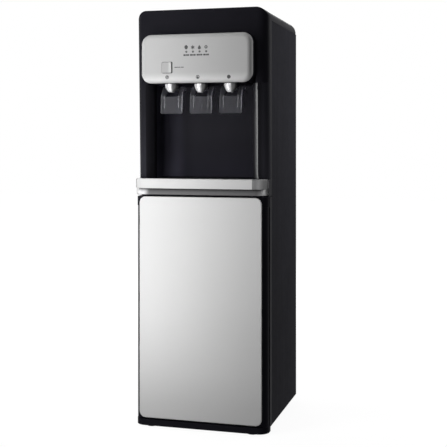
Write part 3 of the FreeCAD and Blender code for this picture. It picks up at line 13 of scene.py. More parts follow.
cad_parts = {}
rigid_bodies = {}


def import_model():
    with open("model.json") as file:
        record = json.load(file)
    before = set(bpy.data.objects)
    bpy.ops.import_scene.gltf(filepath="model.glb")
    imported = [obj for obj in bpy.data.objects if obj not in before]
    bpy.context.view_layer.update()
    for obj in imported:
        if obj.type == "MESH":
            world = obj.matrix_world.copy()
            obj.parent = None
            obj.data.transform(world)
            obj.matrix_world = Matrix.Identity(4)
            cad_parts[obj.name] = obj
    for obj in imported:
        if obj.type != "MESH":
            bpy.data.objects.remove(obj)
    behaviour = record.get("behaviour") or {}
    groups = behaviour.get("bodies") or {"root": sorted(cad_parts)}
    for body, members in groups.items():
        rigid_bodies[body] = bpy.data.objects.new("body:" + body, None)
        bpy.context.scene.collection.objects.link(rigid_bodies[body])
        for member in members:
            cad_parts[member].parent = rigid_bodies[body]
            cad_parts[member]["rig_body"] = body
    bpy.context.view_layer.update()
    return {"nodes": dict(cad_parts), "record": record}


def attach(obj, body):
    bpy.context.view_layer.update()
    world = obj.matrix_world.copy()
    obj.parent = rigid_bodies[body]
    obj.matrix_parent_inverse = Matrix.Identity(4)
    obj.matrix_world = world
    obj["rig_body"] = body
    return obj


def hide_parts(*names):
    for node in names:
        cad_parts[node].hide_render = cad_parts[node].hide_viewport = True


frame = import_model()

MM = 0.001
nodes = frame["nodes"]


# Materials

def new_material(name, base, roughness, metallic=0.0, specular=0.5, coat=0.0):
    """Principled material; returns it with its node tree and shader."""
    material = bpy.data.materials.new(name)
    material.use_nodes = True
    tree = material.node_tree
    shader = tree.nodes["Principled BSDF"]
    shader.inputs["Base Color"].default_value = (*base, 1.0)
    shader.inputs["Roughness"].default_value = roughness
    shader.inputs["Metallic"].default_value = metallic
    shader.inputs["Coat Weight"].default_value = coat
    shader.inputs["Specular IOR Level"].default_value = specular
    return material, tree, shader


def add_noise(tree, scale, detail, stretch=(1.0, 1.0, 1.0)):
    """Noise on Object coordinates, stretched along the axes; returns its Fac socket."""
    coords = tree.nodes.new("ShaderNodeTexCoord")
    mapping = tree.nodes.new("ShaderNodeMapping")
    mapping.inputs["Scale"].default_value = stretch
    noise = tree.nodes.new("ShaderNodeTexNoise")
    noise.inputs["Scale"].default_value = scale
    noise.inputs["Detail"].default_value = detail
    tree.links.new(coords.outputs["Object"], mapping.inputs["Vector"])
    tree.links.new(mapping.outputs["Vector"], noise.inputs["Vector"])
    return noise.outputs["Fac"]


def remap(tree, value, low, high):
    """Linear change of a 0 to 1 value into low to high."""
    node = tree.nodes.new("ShaderNodeMapRange")
    node.inputs["To Min"].default_value = low
    node.inputs["To Max"].default_value = high
    tree.links.new(value, node.inputs["Value"])
    return node.outputs["Result"]


def smooth_ramp(tree, value, start, end):
    """0 before start to 1 past end, smooth at both; start may lie above end."""
    ramp = tree.nodes.new("ShaderNodeMapRange")
    ramp.interpolation_type = "SMOOTHSTEP"
    ramp.inputs["From Min"].default_value = start
    ramp.inputs["From Max"].default_value = end
    tree.links.new(value, ramp.inputs["Value"])
    return ramp.outputs["Result"]


def axis_of(tree, vector, axis):
    """One number, X, Y or Z, of a vector socket."""
    split = tree.nodes.new("ShaderNodeSeparateXYZ")
    tree.links.new(vector, split.inputs["Vector"])
    return split.outputs[axis]


def add_bump(tree, shader, height, strength, distance):
    bump = tree.nodes.new("ShaderNodeBump")
    bump.inputs["Strength"].default_value = strength
    bump.inputs["Distance"].default_value = distance
    tree.links.new(height, bump.inputs["Height"])
    tree.links.new(bump.outputs["Normal"], shader.inputs["Normal"])


def vary_colour(tree, shader, noise, dark, light):
    """Base colour from dark to light over the middle part of a noise, where most of it lies."""
    ramp = tree.nodes.new("ShaderNodeValToRGB")
    for stop, position, colour in zip(ramp.color_ramp.elements, (0.3, 0.7), (dark, light)):
        stop.position = position
        stop.color = (*colour, 1.0)
    tree.links.new(noise, ramp.inputs["Fac"])
    tree.links.new(ramp.outputs["Color"], shader.inputs["Base Color"])


def edge_wear(tree, reach):
    """0 on flats to 1 at edges: how far the normal rounded over the reach leaves the true one."""
    rounded_normal = tree.nodes.new("ShaderNodeBevel")
    rounded_normal.samples = 4
    rounded_normal.inputs["Radius"].default_value = reach
    true_normal = tree.nodes.new("ShaderNodeNewGeometry")
    likeness = tree.nodes.new("ShaderNodeVectorMath")
    likeness.operation = "DOT_PRODUCT"
    tree.links.new(rounded_normal.outputs["Normal"], likeness.inputs[0])
    tree.links.new(true_normal.outputs["Normal"], likeness.inputs[1])
    flat, edge = 0.995, 0.9
    mask = tree.nodes.new("ShaderNodeMapRange")
    mask.inputs["From Min"].default_value = flat
    mask.inputs["From Max"].default_value = edge
    tree.links.new(likeness.outputs["Value"], mask.inputs["Value"])
    return mask.outputs["Result"]


def lighten(tree, mask, gain):
    """Multiplies the base colour by 1 to gain as the mask goes from 0 to 1."""
    base_colour = tree.nodes["Principled BSDF"].inputs["Base Color"]
    scaled = tree.nodes.new("ShaderNodeVectorMath")
    scaled.operation = "SCALE"
    tree.links.new(base_colour.links[0].from_socket, scaled.inputs[0])
    tree.links.new(remap(tree, mask, 1.0, gain), scaled.inputs["Scale"])
    tree.links.new(scaled.outputs["Vector"], base_colour)


DRIFT_SCALE, PATCH_SCALE = 7.0, 60.0
ROUGHNESS_SWING = 0.12
GRAIN_STRENGTH = 0.25
WEAR_REACH = 0.0012


def moulded(name, base, roughness, grain=2200.0, grain_depth=0.00004, spread=0.12,
            stretch=(1.0, 1.0, 1.0), wear=0.0, **more):
    """Moulded or painted finish: fine grain in the bump, slow drift in colour and roughness, edges worn
    lighter by the share in wear."""
    material, tree, shader = new_material(name, base, roughness, **more)
    vary_colour(tree, shader, add_noise(tree, DRIFT_SCALE, 4.0), tuple(c * (1.0 - spread) for c in base),
                tuple(c * (1.0 + spread) for c in base))
    patches = remap(tree, add_noise(tree, PATCH_SCALE, 5.0, stretch), roughness * (1.0 - ROUGHNESS_SWING),
                    roughness * (1.0 + ROUGHNESS_SWING))
    tree.links.new(patches, shader.inputs["Roughness"])
    add_bump(tree, shader, add_noise(tree, grain, 2.0, stretch), GRAIN_STRENGTH, grain_depth)
    if wear:
        lighten(tree, edge_wear(tree, WEAR_REACH), 1.0 + wear)
    return material


def painted_light_along(material, axis, start, end, gain):
    """Painted light and shade: base colour times gain past end, lighter for a gain above 1 and darker below
    it, unchanged before start: two places along one Object axis.
    """
    tree = material.node_tree
    place = tree.nodes.new("ShaderNodeTexCoord").outputs["Object"]
    lighten(tree, smooth_ramp(tree, axis_of(tree, place, axis), start, end), gain)


def painted_shade_aside(material, start, end, gain):
    """Painted shade: base colour times gain where the surface faces right by more than end, unchanged before
    start.
    """
    tree = material.node_tree
    facing = tree.nodes.new("ShaderNodeNewGeometry").outputs["Normal"]
    lighten(tree, smooth_ramp(tree, axis_of(tree, facing, "X"), start, end), gain)


BRUSHED_UPRIGHT = (1.0, 1.0, 0.02)
BRUSHED_ALONG = (0.02, 1.0, 1.0)
DRAWN_UPRIGHT = (0.02, 0.02, 1.0)
ROLLED_UPRIGHT = (0.3, 1.0, 0.004)

LOOKS = {
    "black_plastic": dict(base=(0.0100, 0.0098, 0.0128), roughness=0.42, specular=0.006, wear=0.5),
    "black_steel": dict(base=(0.0120, 0.0118, 0.0150), roughness=0.5, specular=0.002, grain=900.0, wear=0.4),
    "silver_paint": dict(base=(0.352, 0.352, 0.352), roughness=0.45, metallic=0.03, specular=0.02,
                         spread=0.015, wear=0.1),
    "trim_silver": dict(base=(0.484, 0.484, 0.484), roughness=0.42, metallic=0.04, specular=0.02,
                        spread=0.015, stretch=BRUSHED_ALONG),
    "door_silver": dict(base=(0.525, 0.525, 0.525), roughness=0.44, metallic=0.03, specular=0.02,
                        spread=0.01, stretch=BRUSHED_UPRIGHT, wear=0.12),
    "bright_chrome": dict(base=(0.62, 0.62, 0.63), roughness=0.24, metallic=0.3, specular=0.3,
                          spread=0.02, grain_depth=0.00001),
    "grille_black": dict(base=(0.005, 0.005, 0.006), roughness=0.5, specular=0.15),
    "rubber_black": dict(base=(0.010, 0.010, 0.010), roughness=0.7, specular=0.2),
    "zinc_steel": dict(base=(0.45, 0.46, 0.47), roughness=0.36, metallic=1.0, spread=0.08),
    "condenser_black": dict(base=(0.012, 0.012, 0.013), roughness=0.3),
    "shell_black": dict(base=(0.010, 0.010, 0.011), roughness=0.25, coat=0.3),
    "foam_white": dict(base=(0.72, 0.72, 0.69), roughness=0.9, grain=500.0, grain_depth=0.0004),
    "jacket_grey": dict(base=(0.12, 0.12, 0.13), roughness=0.85, grain=500.0, grain_depth=0.0004),
    "tank_steel": dict(base=(0.55, 0.55, 0.56), roughness=0.3, metallic=1.0, spread=0.06,
                       stretch=DRAWN_UPRIGHT),
    "silicone": dict(base=(0.62, 0.63, 0.60), roughness=0.45),
    "copper": dict(base=(0.72, 0.36, 0.22), roughness=0.32, metallic=1.0, spread=0.15),
    "board_green": dict(base=(0.02, 0.12, 0.05), roughness=0.4),
    "lens_clear": dict(base=(0.10, 0.10, 0.105), roughness=0.15, spread=0.05),
    "key_silver": dict(base=(0.30, 0.30, 0.30), roughness=0.4, metallic=0.04, specular=0.03, spread=0.02,
                       wear=0.3),
    "rocker_red": dict(base=(0.42, 0.02, 0.015), roughness=0.3),
    "rocker_green": dict(base=(0.02, 0.26, 0.06), roughness=0.3),
    "cap_white": dict(base=(0.66, 0.66, 0.63), roughness=0.4),
    "pump_grey": dict(base=(0.06, 0.062, 0.066), roughness=0.4),
    "clear_plastic": dict(base=(0.50, 0.50, 0.54), roughness=0.30, grain=260.0, spread=0.02,
                          grain_depth=0.000006),
    "print_ink": dict(base=(0.014, 0.014, 0.016), roughness=0.6, spread=0.1),
    "pin_steel": dict(base=(0.03, 0.03, 0.032), roughness=0.4, metallic=0.6),
    # The lighter and darker copies of black plastic and trim silver below carry painted light and shade on
    # parts of the fascia and trim band; the glossier black for the alcove's right edge is the exception.
    "alcove_painted_light": dict(base=(0.0105, 0.0101, 0.0140), roughness=0.45, specular=0.04),
    "bend_painted_shade_light": dict(base=(0.0068, 0.0066, 0.0080), roughness=0.42, specular=0.006),
    "post_painted_light_shade": dict(base=(0.0120, 0.0118, 0.0145), roughness=0.42, specular=0.006),
    "mouth_black": dict(base=(0.0100, 0.0100, 0.0120), roughness=0.30, specular=0.62),
    "lip_painted_shade_highlight": dict(base=(0.028, 0.028, 0.0285), roughness=0.42, metallic=0.05, specular=0.03, spread=0.03),
    "cheek_painted_shade": dict(base=(0.09, 0.09, 0.093), roughness=0.42, metallic=0.05, specular=0.03, spread=0.03),
    "corner_painted_shade": dict(base=(0.185, 0.185, 0.187), roughness=0.42, metallic=0.05, specular=0.03,
                        spread=0.03),
    # An opaque lighter grey for the paddles' ribs: a painted highlight.
    "rim_painted_highlight": dict(base=(0.16, 0.16, 0.175), roughness=0.3, specular=0.2, spread=0.03)}
finishes = {name: moulded(name, **look) for name, look in LOOKS.items()}

clear_shader = finishes["clear_plastic"].node_tree.nodes["Principled BSDF"]
clear_shader.inputs["Transmission Weight"].default_value = 0.96
clear_shader.inputs["IOR"].default_value = 1.12

STREAK_SCALE, STREAK_GAIN = 420.0, 2.8
steel_tree = finishes["black_steel"].node_tree
lighten(steel_tree, add_noise(steel_tree, STREAK_SCALE, 3.0, ROLLED_UPRIGHT), STREAK_GAIN)

# Painted light and shade along one Object axis: the side panels darker towards the bottom and lighter towards
# the back; the control panel lighter along its lower edge (painted reflection of the floor); the alcove
# lighter on its left and low down, where the key lamp's shadow falls; the key lighter on its right (painted
# highlight); the fascia's front lighter low down, its right post darker and the side beyond it lighter; the
# lip under the trim band lighter towards its foot and at both ends (painted highlights); the trim's right
# corner lighter at its end and darker towards the back; the door a little darker at the bottom.
PAINTED_LIGHT_AND_SHADE = (  # finish, axis, start and end in metres, gain
    ("black_steel", "Z", 0.95, 0.20, 0.55),
    ("black_steel", "Y", -0.10, 0.18, 1.3),
    ("silver_paint", "Z", 0.842, 0.817, 1.45),
    ("alcove_painted_light", "X", -0.07, -0.108, 3.2),
    ("alcove_painted_light", "Z", 0.68, 0.59, 1.9),
    ("key_silver", "X", -0.068, -0.062, 1.28),
    ("bend_painted_shade_light", "X", -0.128, -0.118, 3.0),
    ("post_painted_light_shade", "Z", 0.80, 0.60, 1.7),
    ("post_painted_light_shade", "X", 0.10, 0.12, 0.55),
    ("post_painted_light_shade", "X", 0.140, 0.155, 3.2),
    ("lip_painted_shade_highlight", "Z", 0.5685, 0.5595, 4.4),
    ("lip_painted_shade_highlight", "X", -0.122, -0.140, 5.0),
    ("lip_painted_shade_highlight", "X", 0.137, 0.150, 3.0),
    ("corner_painted_shade", "X", 0.136, 0.147, 1.9),
    ("corner_painted_shade", "Y", -0.152, -0.139, 0.26),
    ("door_silver", "Z", 0.16, 0.05, 0.95))
for finish_name, axis, start, end, gain in PAINTED_LIGHT_AND_SHADE:
    painted_light_along(finishes[finish_name], axis, start, end, gain)
# Painted shade and reflection: the chrome nozzles darker on the sides that face right.
painted_shade_aside(finishes["bright_chrome"], start=0.12, end=0.5, gain=0.22)

node_slots = {part["node"]: part["material_slot"] for part in frame["record"]["subparts"]}
for node_name, slot_name in node_slots.items():
    packed = nodes[node_name]
    packed.data.materials.clear()
    packed.data.materials.append(finishes["pin_steel" if node_name == "paddle_pins" else slot_name])


# Surfaces

def full_turn(count):
    """Angles of a closed loop."""
    return np.arange(count) * 2 * np.pi / count


def quarter_turn(steps):
    return np.linspace(0.0, np.pi / 2, steps + 1)


def around(u, v, r, angle):
    """Points at distance r from the centre u, v; r is one number, or one for each angle."""
    return np.stack([u + r * np.cos(angle), v + r * np.sin(angle)], axis=1)


def rounded(x0, x1, z0, z1, r, steps=8):
    """Rounded rectangle: a quarter circle of radius r round each corner in turn, steps + 1 points each."""
    corners = ((x1 - r, z1 - r), (x0 + r, z1 - r), (x0 + r, z0 + r), (x1 - r, z0 + r))
    return np.concatenate([around(cx, cz, r, quarter_turn(steps) + k * np.pi / 2)
                           for k, (cx, cz) in enumerate(corners)])


def stand(ring, y):
    """Upright loop: the ring's two numbers are x and z, at one y."""
    return np.stack([ring[:, 0], np.full(len(ring), float(y)), ring[:, 1]], axis=1)


def skin(loops, closed=False):
    """Surface through loops of equal length; closed joins the last to the first, else both ends are shut."""
    rows, count = len(loops), len(loops[0])
    i, j = np.meshgrid(np.arange(rows if closed else rows - 1), np.arange(count), indexing="ij")
    next_i, next_j = (i + 1) % rows, (j + 1) % count
    near, far = i * count, next_i * count
    quads = np.stack([near + j, near + next_j, far + next_j, far + j], axis=-1)
    faces = quads.reshape(-1, 4).tolist()
    if not closed:
        faces += [list(range(count)), list(range((rows - 1) * count, rows * count))]
    return np.concatenate(loops), faces


def lathe(x, y, profile, count):
    """Turned form about an upright axis: each (radius, z) of the closed profile becomes a circle."""
    return skin([np.column_stack([around(x, y, r, full_turn(count)), np.full(count, z)]) for r, z in profile],
                closed=True)


def rounded_slab(ring_at, y_front, y_back, edge_r, back_r=0.3, steps=6):
    """Upright slab: ring_at(inset) gives its outline; quarter circles round its front and back edges."""
    flat_front, flat_back = edge_r * 1.15, back_r * 1.3
    turn = quarter_turn(steps)
    front = [stand(ring_at(flat_front), y_front)]
    front += [stand(ring_at(edge_r * (1 - np.sin(a))), y_front + edge_r * (1 - np.cos(a))) for a in turn]
    back = [stand(ring_at(back_r * (1 - np.cos(a))), y_back - back_r * (1 - np.sin(a))) for a in turn]
    return skin(front + back + [stand(ring_at(flat_back), y_back)])


SHARP_ANGLE = math.radians(38.0)
FLAT_ANGLE = math.radians(0.8)
WELD, PACKED_WELD = 1e-7, 2e-6


def place_piece(name, mesh, body, slot_name, replaced=(), material=None):
    """Shades a mesh, gives it its finish and puts it into the scene on its body."""
    mesh.shade_smooth()
    mesh.set_sharp_from_angle(angle=SHARP_ANGLE)
    mesh.materials.append(material or finishes[slot_name])
    piece = bpy.data.objects.new(name, mesh)
    bpy.context.scene.collection.objects.link(piece)
    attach(piece, body)
    if replaced:
        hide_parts(*replaced)
    return piece


def add_piece(name, shells, body, slot_name, replaced=(), material=None):
    """Joins shells into one mesh in metres, turns its faces outwards and places it."""
    points, faces, first = [], [], 0
    for shell_points, shell_faces in shells:
        points.append(shell_points)
        faces += [[first + k for k in face] for face in shell_faces]
        first += len(shell_points)
    mesh = bpy.data.meshes.new(name)
    mesh.from_pydata((np.concatenate(points) * MM).tolist(), [], faces)
    work = bmesh.new()
    work.from_mesh(mesh)
    bmesh.ops.remove_doubles(work, verts=work.verts, dist=WELD)
    bmesh.ops.recalc_face_normals(work, faces=work.faces)
    work.to_mesh(mesh)
    work.free()
    return place_piece(name, mesh, body, slot_name, replaced, material)


def eased(node_name, width):
    """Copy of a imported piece, its triangles merged into flat faces and its edges rounded by width in mm."""
    mesh = nodes[node_name].data.copy()
    mesh.name = node_name + "_eased"
    mesh.materials.clear()
    work = bmesh.new()
    work.from_mesh(mesh)
    bmesh.ops.remove_doubles(work, verts=work.verts, dist=PACKED_WELD)
    bmesh.ops.dissolve_limit(work, angle_limit=FLAT_ANGLE, verts=work.verts, edges=work.edges)
    work.to_mesh(mesh)
    work.free()
    piece = place_piece(node_name + "_eased", mesh, nodes[node_name]["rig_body"], node_slots[node_name],
                        [node_name])
    bevel = piece.modifiers.new("edges", "BEVEL")
    bevel.width = width * MM
    bevel.segments = 2
    bevel.limit_method = "ANGLE"
    bevel.angle_limit = SHARP_ANGLE
    return piece


# Head

PANEL_HALF, PANEL_FOOT, PANEL_TOP = 134.2, 816.0, 930.0
PANEL_FRONT, PANEL_BACK, PANEL_WALL = -186.9, -171.0, 2.5
PANEL_CORNER, PANEL_EDGE = 23.0, 12.0
KEY_LEFT, KEY_RIGHT, KEY_FOOT, KEY_TOP = -81.3, -58.0, 839.5, 864.5
GAP_LEFT, GAP_RIGHT, GAP_BELOW, GAP_ABOVE = 0.2, 3.1, 1.1, 0.6
KEY_CORNER, KEY_LEAST_CORNER, WAY_CORNER = 2.6, 0.6, 3.2


def panel_ring(inset):
    return rounded(-PANEL_HALF + inset, PANEL_HALF - inset, PANEL_FOOT + inset, PANEL_TOP - inset,
                   PANEL_CORNER - inset)


def way_ring(grow):
    """Opening round the key, wider on its right."""
    return rounded(KEY_LEFT - GAP_LEFT - grow, KEY_RIGHT + GAP_RIGHT + grow, KEY_FOOT - GAP_BELOW - grow,
                   KEY_TOP + GAP_ABOVE + grow, WAY_CORNER + grow)


def key_ring(inset):
    return rounded(KEY_LEFT + inset, KEY_RIGHT - inset, KEY_FOOT + inset, KEY_TOP - inset,
                   max(KEY_CORNER - inset, KEY_LEAST_CORNER))


def control_panel():
    """Crowned cover: rings from the key's opening over the flat front, round the quarter-circle edge to the
    back rim, and the same way back inside, one wall deeper."""
    turn = quarter_turn(10)
    way = ((0.0, PANEL_WALL), (0.0, 0.5), (0.15, 0.15), (0.5, 0.0), (0.8, 0.0))
    loops = [stand(way_ring(grow), PANEL_FRONT + depth) for grow, depth in way]
    loops.append(stand(panel_ring(PANEL_EDGE + 0.5), PANEL_FRONT))
    loops += [stand(panel_ring(PANEL_EDGE * (1 - np.sin(a))), PANEL_FRONT + PANEL_EDGE * (1 - np.cos(a)))
              for a in turn]
    loops += [stand(panel_ring(0.0), PANEL_BACK), stand(panel_ring(PANEL_WALL), PANEL_BACK)]
    inner_r = PANEL_EDGE - PANEL_WALL
    loops += [stand(panel_ring(PANEL_WALL + inner_r * (1 - np.sin(a))),
                    PANEL_FRONT + PANEL_WALL + inner_r * (1 - np.cos(a))) for a in turn[::-1]]
    return skin(loops, closed=True)


KEY_EDGE, KEY_BACK = 0.9, -181.7
FLANGE_WIDTH, FLANGE_LAP, FLANGE_FRONT, FLANGE_BACK = 1.8, 0.2, -184.2, -183.0
KEY_STEM = (-68.3, 852.0, 2.5)
KEY_STEM_FRONT, KEY_STEM_BACK = -182.2, -176.3


def button_shells():
    """Key with a slight dish, its flange behind the panel and its stem."""
    dish = ((9.0, 0.5), (5.0, 0.4), (2.2, 0.1), (1.2, 0.0))
    loops = [stand(key_ring(inset), PANEL_FRONT + depth) for inset, depth in dish]
    loops += [stand(key_ring(KEY_EDGE * (1 - np.sin(a))), PANEL_FRONT + KEY_EDGE * (1 - np.cos(a)))
              for a in quarter_turn(4)]
    key = skin(loops + [stand(key_ring(0.0), KEY_BACK)])
    flange = skin([stand(key_ring(FLANGE_LAP), FLANGE_FRONT), stand(key_ring(-FLANGE_WIDTH), FLANGE_FRONT),
                   stand(key_ring(-FLANGE_WIDTH), FLANGE_BACK), stand(key_ring(FLANGE_LAP), FLANGE_BACK)],
                  closed=True)
    circle = around(*KEY_STEM, full_turn(24))
    return [key, flange, skin([stand(circle, KEY_STEM_FRONT), stand(circle, KEY_STEM_BACK)])]


add_piece("panel_cover", [control_panel()], "cabinet", "silver_paint", ["control_panel"])
mode_key = add_piece("mode_key", button_shells(), "button", "key_silver", ["mode_button"])

TAP_X = {"hot": -72.7, "room": 0.0, "cold": 72.7}
TAP_Y = -141.0
SPOUT_END = {"hot": 796.8, "room": 795.3, "cold": 795.3}
SPOUT_TOP, SPOUT_TOP_R, SPOUT_FOOT_R, SPOUT_POWER = 815.5, 15.5, 7.0, 2.2
BORE_R, SOCKET_R, SOCKET_FLOOR = 4.5, 12.0, 806.5
SPOUT_SIDES = 72


def spout_profile(end):
    """Bullet nozzle: its radius falls with a power of the way down; bore and socket inside."""
    outer = [(SPOUT_FOOT_R + (SPOUT_TOP_R - SPOUT_FOOT_R) * (1 - t ** SPOUT_POWER),
              SPOUT_TOP + (end + 0.2 - SPOUT_TOP) * t) for t in np.linspace(0.0, 1.0, 20)]
    foot = [(6.6, end + 0.15), (6.0, end), (4.9, end), (BORE_R, end + 0.4)]
    return outer + foot + [(BORE_R, SOCKET_FLOOR), (SOCKET_R, SOCKET_FLOOR), (SOCKET_R, SPOUT_TOP)]


for tap, x in TAP_X.items():
    add_piece("nozzle_" + tap, [lathe(x, TAP_Y, spout_profile(SPOUT_END[tap]), SPOUT_SIDES)], "cabinet",
              "bright_chrome", ["spout_" + tap])


def bead(x, width, line, proud=0.5, sink=0.6):
    """Raised line at one x: each (y, z) of the line gets a small rectangle across it."""
    across = np.array([-width / 2, width / 2, width / 2, -width / 2])
    depth = np.array([-proud, -proud, sink, sink])
    return skin([np.stack([x + across, y + depth, np.full(4, z)], axis=1) for y, z in line])


RIM_OUTER_X, RIM_INNER_X = 26.0, 17.6
RIM_FOOT, RIM_INNER_FOOT = (-142.2, 750.0), (-141.5, 759.0)
RIM_PLATE = [(-139.9, 780.0), (-139.2, 788.0)]
RIM_ARM = [(-136.4, 795.0), (-131.4, 801.5)]


def rims(x):
    """Upright ribs of a clear paddle, two each side, wider on its right."""
    shells = []
    for side, inner_width, outer_width in ((-1, 1.3, 0.5), (1, 1.6, 1.9)):
        shells += [bead(x + side * RIM_OUTER_X, outer_width, [RIM_FOOT] + RIM_PLATE + RIM_ARM),
                   bead(x + side * RIM_INNER_X, inner_width, [RIM_INNER_FOOT] + RIM_PLATE)]
    return shells


# The ribs take an opaque lighter grey instead of the clear plastic: a painted highlight standing in for their
# bright edges.
for tap, x in TAP_X.items():
    add_piece("paddle_rims_" + tap, rims(x), tap + "_paddle", node_slots["paddle_" + tap],
              material=finishes["rim_painted_highlight"])


# Trim and door

TRIM_HALF, TRIM_FRONT, TRIM_BACK = 162.5, -163.0, -134.0
TRIM_CORNER_ACROSS, TRIM_CORNER_DEEP = 33.0, 27.0
BAND_TOP, BAND_FOOT, BAND_EDGE, TRIM_FOOT = 592.0, 568.6, 1.8, 553.5
TRIM_INSIDE, CHEEK_INSET = 12.0, 1.0
TURN_START, TURN_SPAN = 0.62, 0.3


def trim_stations(steps=16):
    """Path round the front in plan and its inward normals: side, quarter ellipse, front, quarter ellipse,
    side."""
    turn = quarter_turn(steps)
    right = np.stack([TRIM_HALF - TRIM_CORNER_ACROSS + TRIM_CORNER_ACROSS * np.sin(turn),
                      TRIM_FRONT + TRIM_CORNER_DEEP - TRIM_CORNER_DEEP * np.cos(turn)], axis=1)
    normal = np.stack([-np.sin(turn) / TRIM_CORNER_ACROSS, np.cos(turn) / TRIM_CORNER_DEEP], axis=1)
    normal = normal / np.linalg.norm(normal, axis=1)[:, None]
    right = np.concatenate([right, [[TRIM_HALF, TRIM_BACK]]])
    normal = np.concatenate([normal, [[-1.0, 0.0]]])
    mirrored = np.array([-1.0, 1.0])
    return np.concatenate([right[::-1] * mirrored, right]), np.concatenate([normal[::-1] * mirrored, normal])


def arc(inset, z, r, start, end, steps=5):
    """Quarter circle of the profile between two angles in degrees, as (inset, z) pairs."""
    return around(inset, z, r, np.radians(np.linspace(start, end, steps + 1))).tolist()


def trim_shell():
    """Band with a groove and a receding lip under it: the closed section, as (inset, z), is carried round
    the front. Where the path turns to the side, its points from the band's lower edge down to the lip's foot
    come forward nearly to the band's own face."""
    band = [(TRIM_INSIDE, BAND_TOP)] + arc(BAND_EDGE, BAND_TOP - BAND_EDGE, BAND_EDGE, 90, 180)
    band += arc(BAND_EDGE, BAND_FOOT + BAND_EDGE, BAND_EDGE, 180, 270)
    lip = [(8.4, 568.4), (9.3, 566.8), (9.4, 564.6), (8.9, 562.2), (7.8, 560.0), (6.4, 558.0)]
    lip += arc(6.2, 555.4, 0.9, 160, 270, 4)
    section = np.array(band + lip + [(TRIM_INSIDE, TRIM_FOOT)])
    edge_points = 3
    first, last = len(band) - edge_points, len(band) + len(lip)
    level = section[:, 0].copy()
    level[first:last] = np.minimum(level[first:last], CHEEK_INSET)
    path, inward = trim_stations()
    aside = np.clip((np.abs(inward[:, 0]) - TURN_START) / TURN_SPAN, 0.0, 1.0)
    aside = aside * aside * (3.0 - 2.0 * aside)
    inset = section[:, 0] + aside[:, None] * (level - section[:, 0])
    return skin([np.stack([place[0] + depth * normal[0], place[1] + depth * normal[1], section[:, 1]], axis=1)
                 for place, normal, depth in zip(path, inward, inset)])


trim_band = add_piece("trim_band", [trim_shell()], "cabinet", node_slots["tray_trim"], ["tray_trim"],
                      material=finishes["trim_silver"])

DOOR_HALF, DOOR_FOOT, DOOR_TOP, DOOR_CORNER = 149.7, 22.2, 549.0, 15.0
DOOR_FRONT, DOOR_BACK, DOOR_EDGE = -152.5, -149.3, 1.6


def door_ring(inset):
    return rounded(-DOOR_HALF + inset, DOOR_HALF - inset, DOOR_FOOT + inset, DOOR_TOP - inset,
                   DOOR_CORNER - inset)


add_piece("door_face", [rounded_slab(door_ring, DOOR_FRONT, DOOR_BACK, DOOR_EDGE)], "door",
          node_slots["door_skin"], ["door_skin"])


# Prints on the panel

PRINT_FRONT, PRINT_BACK = PANEL_FRONT - 0.09, PANEL_FRONT + 0.3


def prism(outline):
    """Thin print: an outline in x and z given a front and a back."""
    return skin([stand(outline, PRINT_FRONT), stand(outline, PRINT_BACK)])


def bar(x0, x1, z0, z1, r=0.4):
    """Flat bar print, its corners rounded by r or by just under half its size."""
    return prism(rounded(x0, x1, z0, z1, min(r, (x1 - x0) / 2.01, (z1 - z0) / 2.01), 3))


def hoop(x, z, outer, inner, count=32):
    """Flat ring print."""
    big, small = (around(x, z, r, full_turn(count)) for r in (outer, inner))
    return skin([stand(big, PRINT_FRONT), stand(small, PRINT_FRONT), stand(small, PRINT_BACK),
                 stand(big, PRINT_BACK)], closed=True)


def flame(x, z, size):
    """Flame: round below, one tongue upwards."""
    angle = full_turn(40)
    tongue = np.maximum(np.sin(angle), 0.0) ** 6
    radius = size * (0.80 + 0.34 * tongue + 0.08 * np.sin(3 * angle))
    return [prism(around(x, z, radius, angle))]


def drop(x, z, size):
    """Water drop: a circle whose upper half is drawn to a point."""
    angle = full_turn(36)
    across = size * 0.85 * np.sin(angle) * np.sin(angle / 2) ** 1.2
    return [prism(np.stack([x + across, z + size * 0.85 * np.cos(angle)], axis=1))]


def star(x, z, size, half_width=1.0):
    """Snow star: three narrow bars through the centre, turned evenly."""
    shells = []
    for k in range(3):
        angle = k * np.pi / 3 + np.pi / 2
        along = np.array([np.cos(angle), np.sin(angle)]) * size
        across = np.array([-np.sin(angle), np.cos(angle)]) * half_width
        corners = (along + across, across - along, -along - across, along - across)
        shells.append(prism(np.array([x, z]) + corners))
    return shells


ICON_X, ICON_Z = (-21.5, -5.5, 10.5, 26.5), 897.5
LENS_ASIDE, LENS_Z = 0.5, 887.5
WORD, WORD_FOOT, WORD_TOP = ((-6.6, -1.4), (-0.8, 2.0), (2.6, 7.0)), 878.0, 881.8
KEY_WORD, KEY_WORD_FOOT, KEY_WORD_TOP = ((-50.0, -41.5), (-40.7, -35.5), (-34.7, -27.5)), 851.2, 852.9

marks = flame(ICON_X[0], ICON_Z, 5.2) + star(ICON_X[1], ICON_Z, 4.6) + drop(ICON_X[2], ICON_Z, 5.8)
marks.append(hoop(ICON_X[3], ICON_Z, 3.8, 1.5))
marks += [hoop(x + LENS_ASIDE, LENS_Z, 2.5, 1.62) for x in ICON_X]
marks += [bar(x + left, x + right, WORD_FOOT, WORD_TOP) for x in ICON_X for left, right in WORD]
marks += [bar(left, right, KEY_WORD_FOOT, KEY_WORD_TOP) for left, right in KEY_WORD]
for x, z, symbol, size in ((-68.0, 829.4, flame, 2.4), (6.5, 828.8, drop, 3.2), (81.0, 828.0, star, 2.9)):
    marks += [hoop(x, z, 4.4, 3.0)] + symbol(x, z, size)
add_piece("panel_marks", marks, "cabinet", "grille_black", material=finishes["print_ink"])


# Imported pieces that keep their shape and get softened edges, with the width in mm

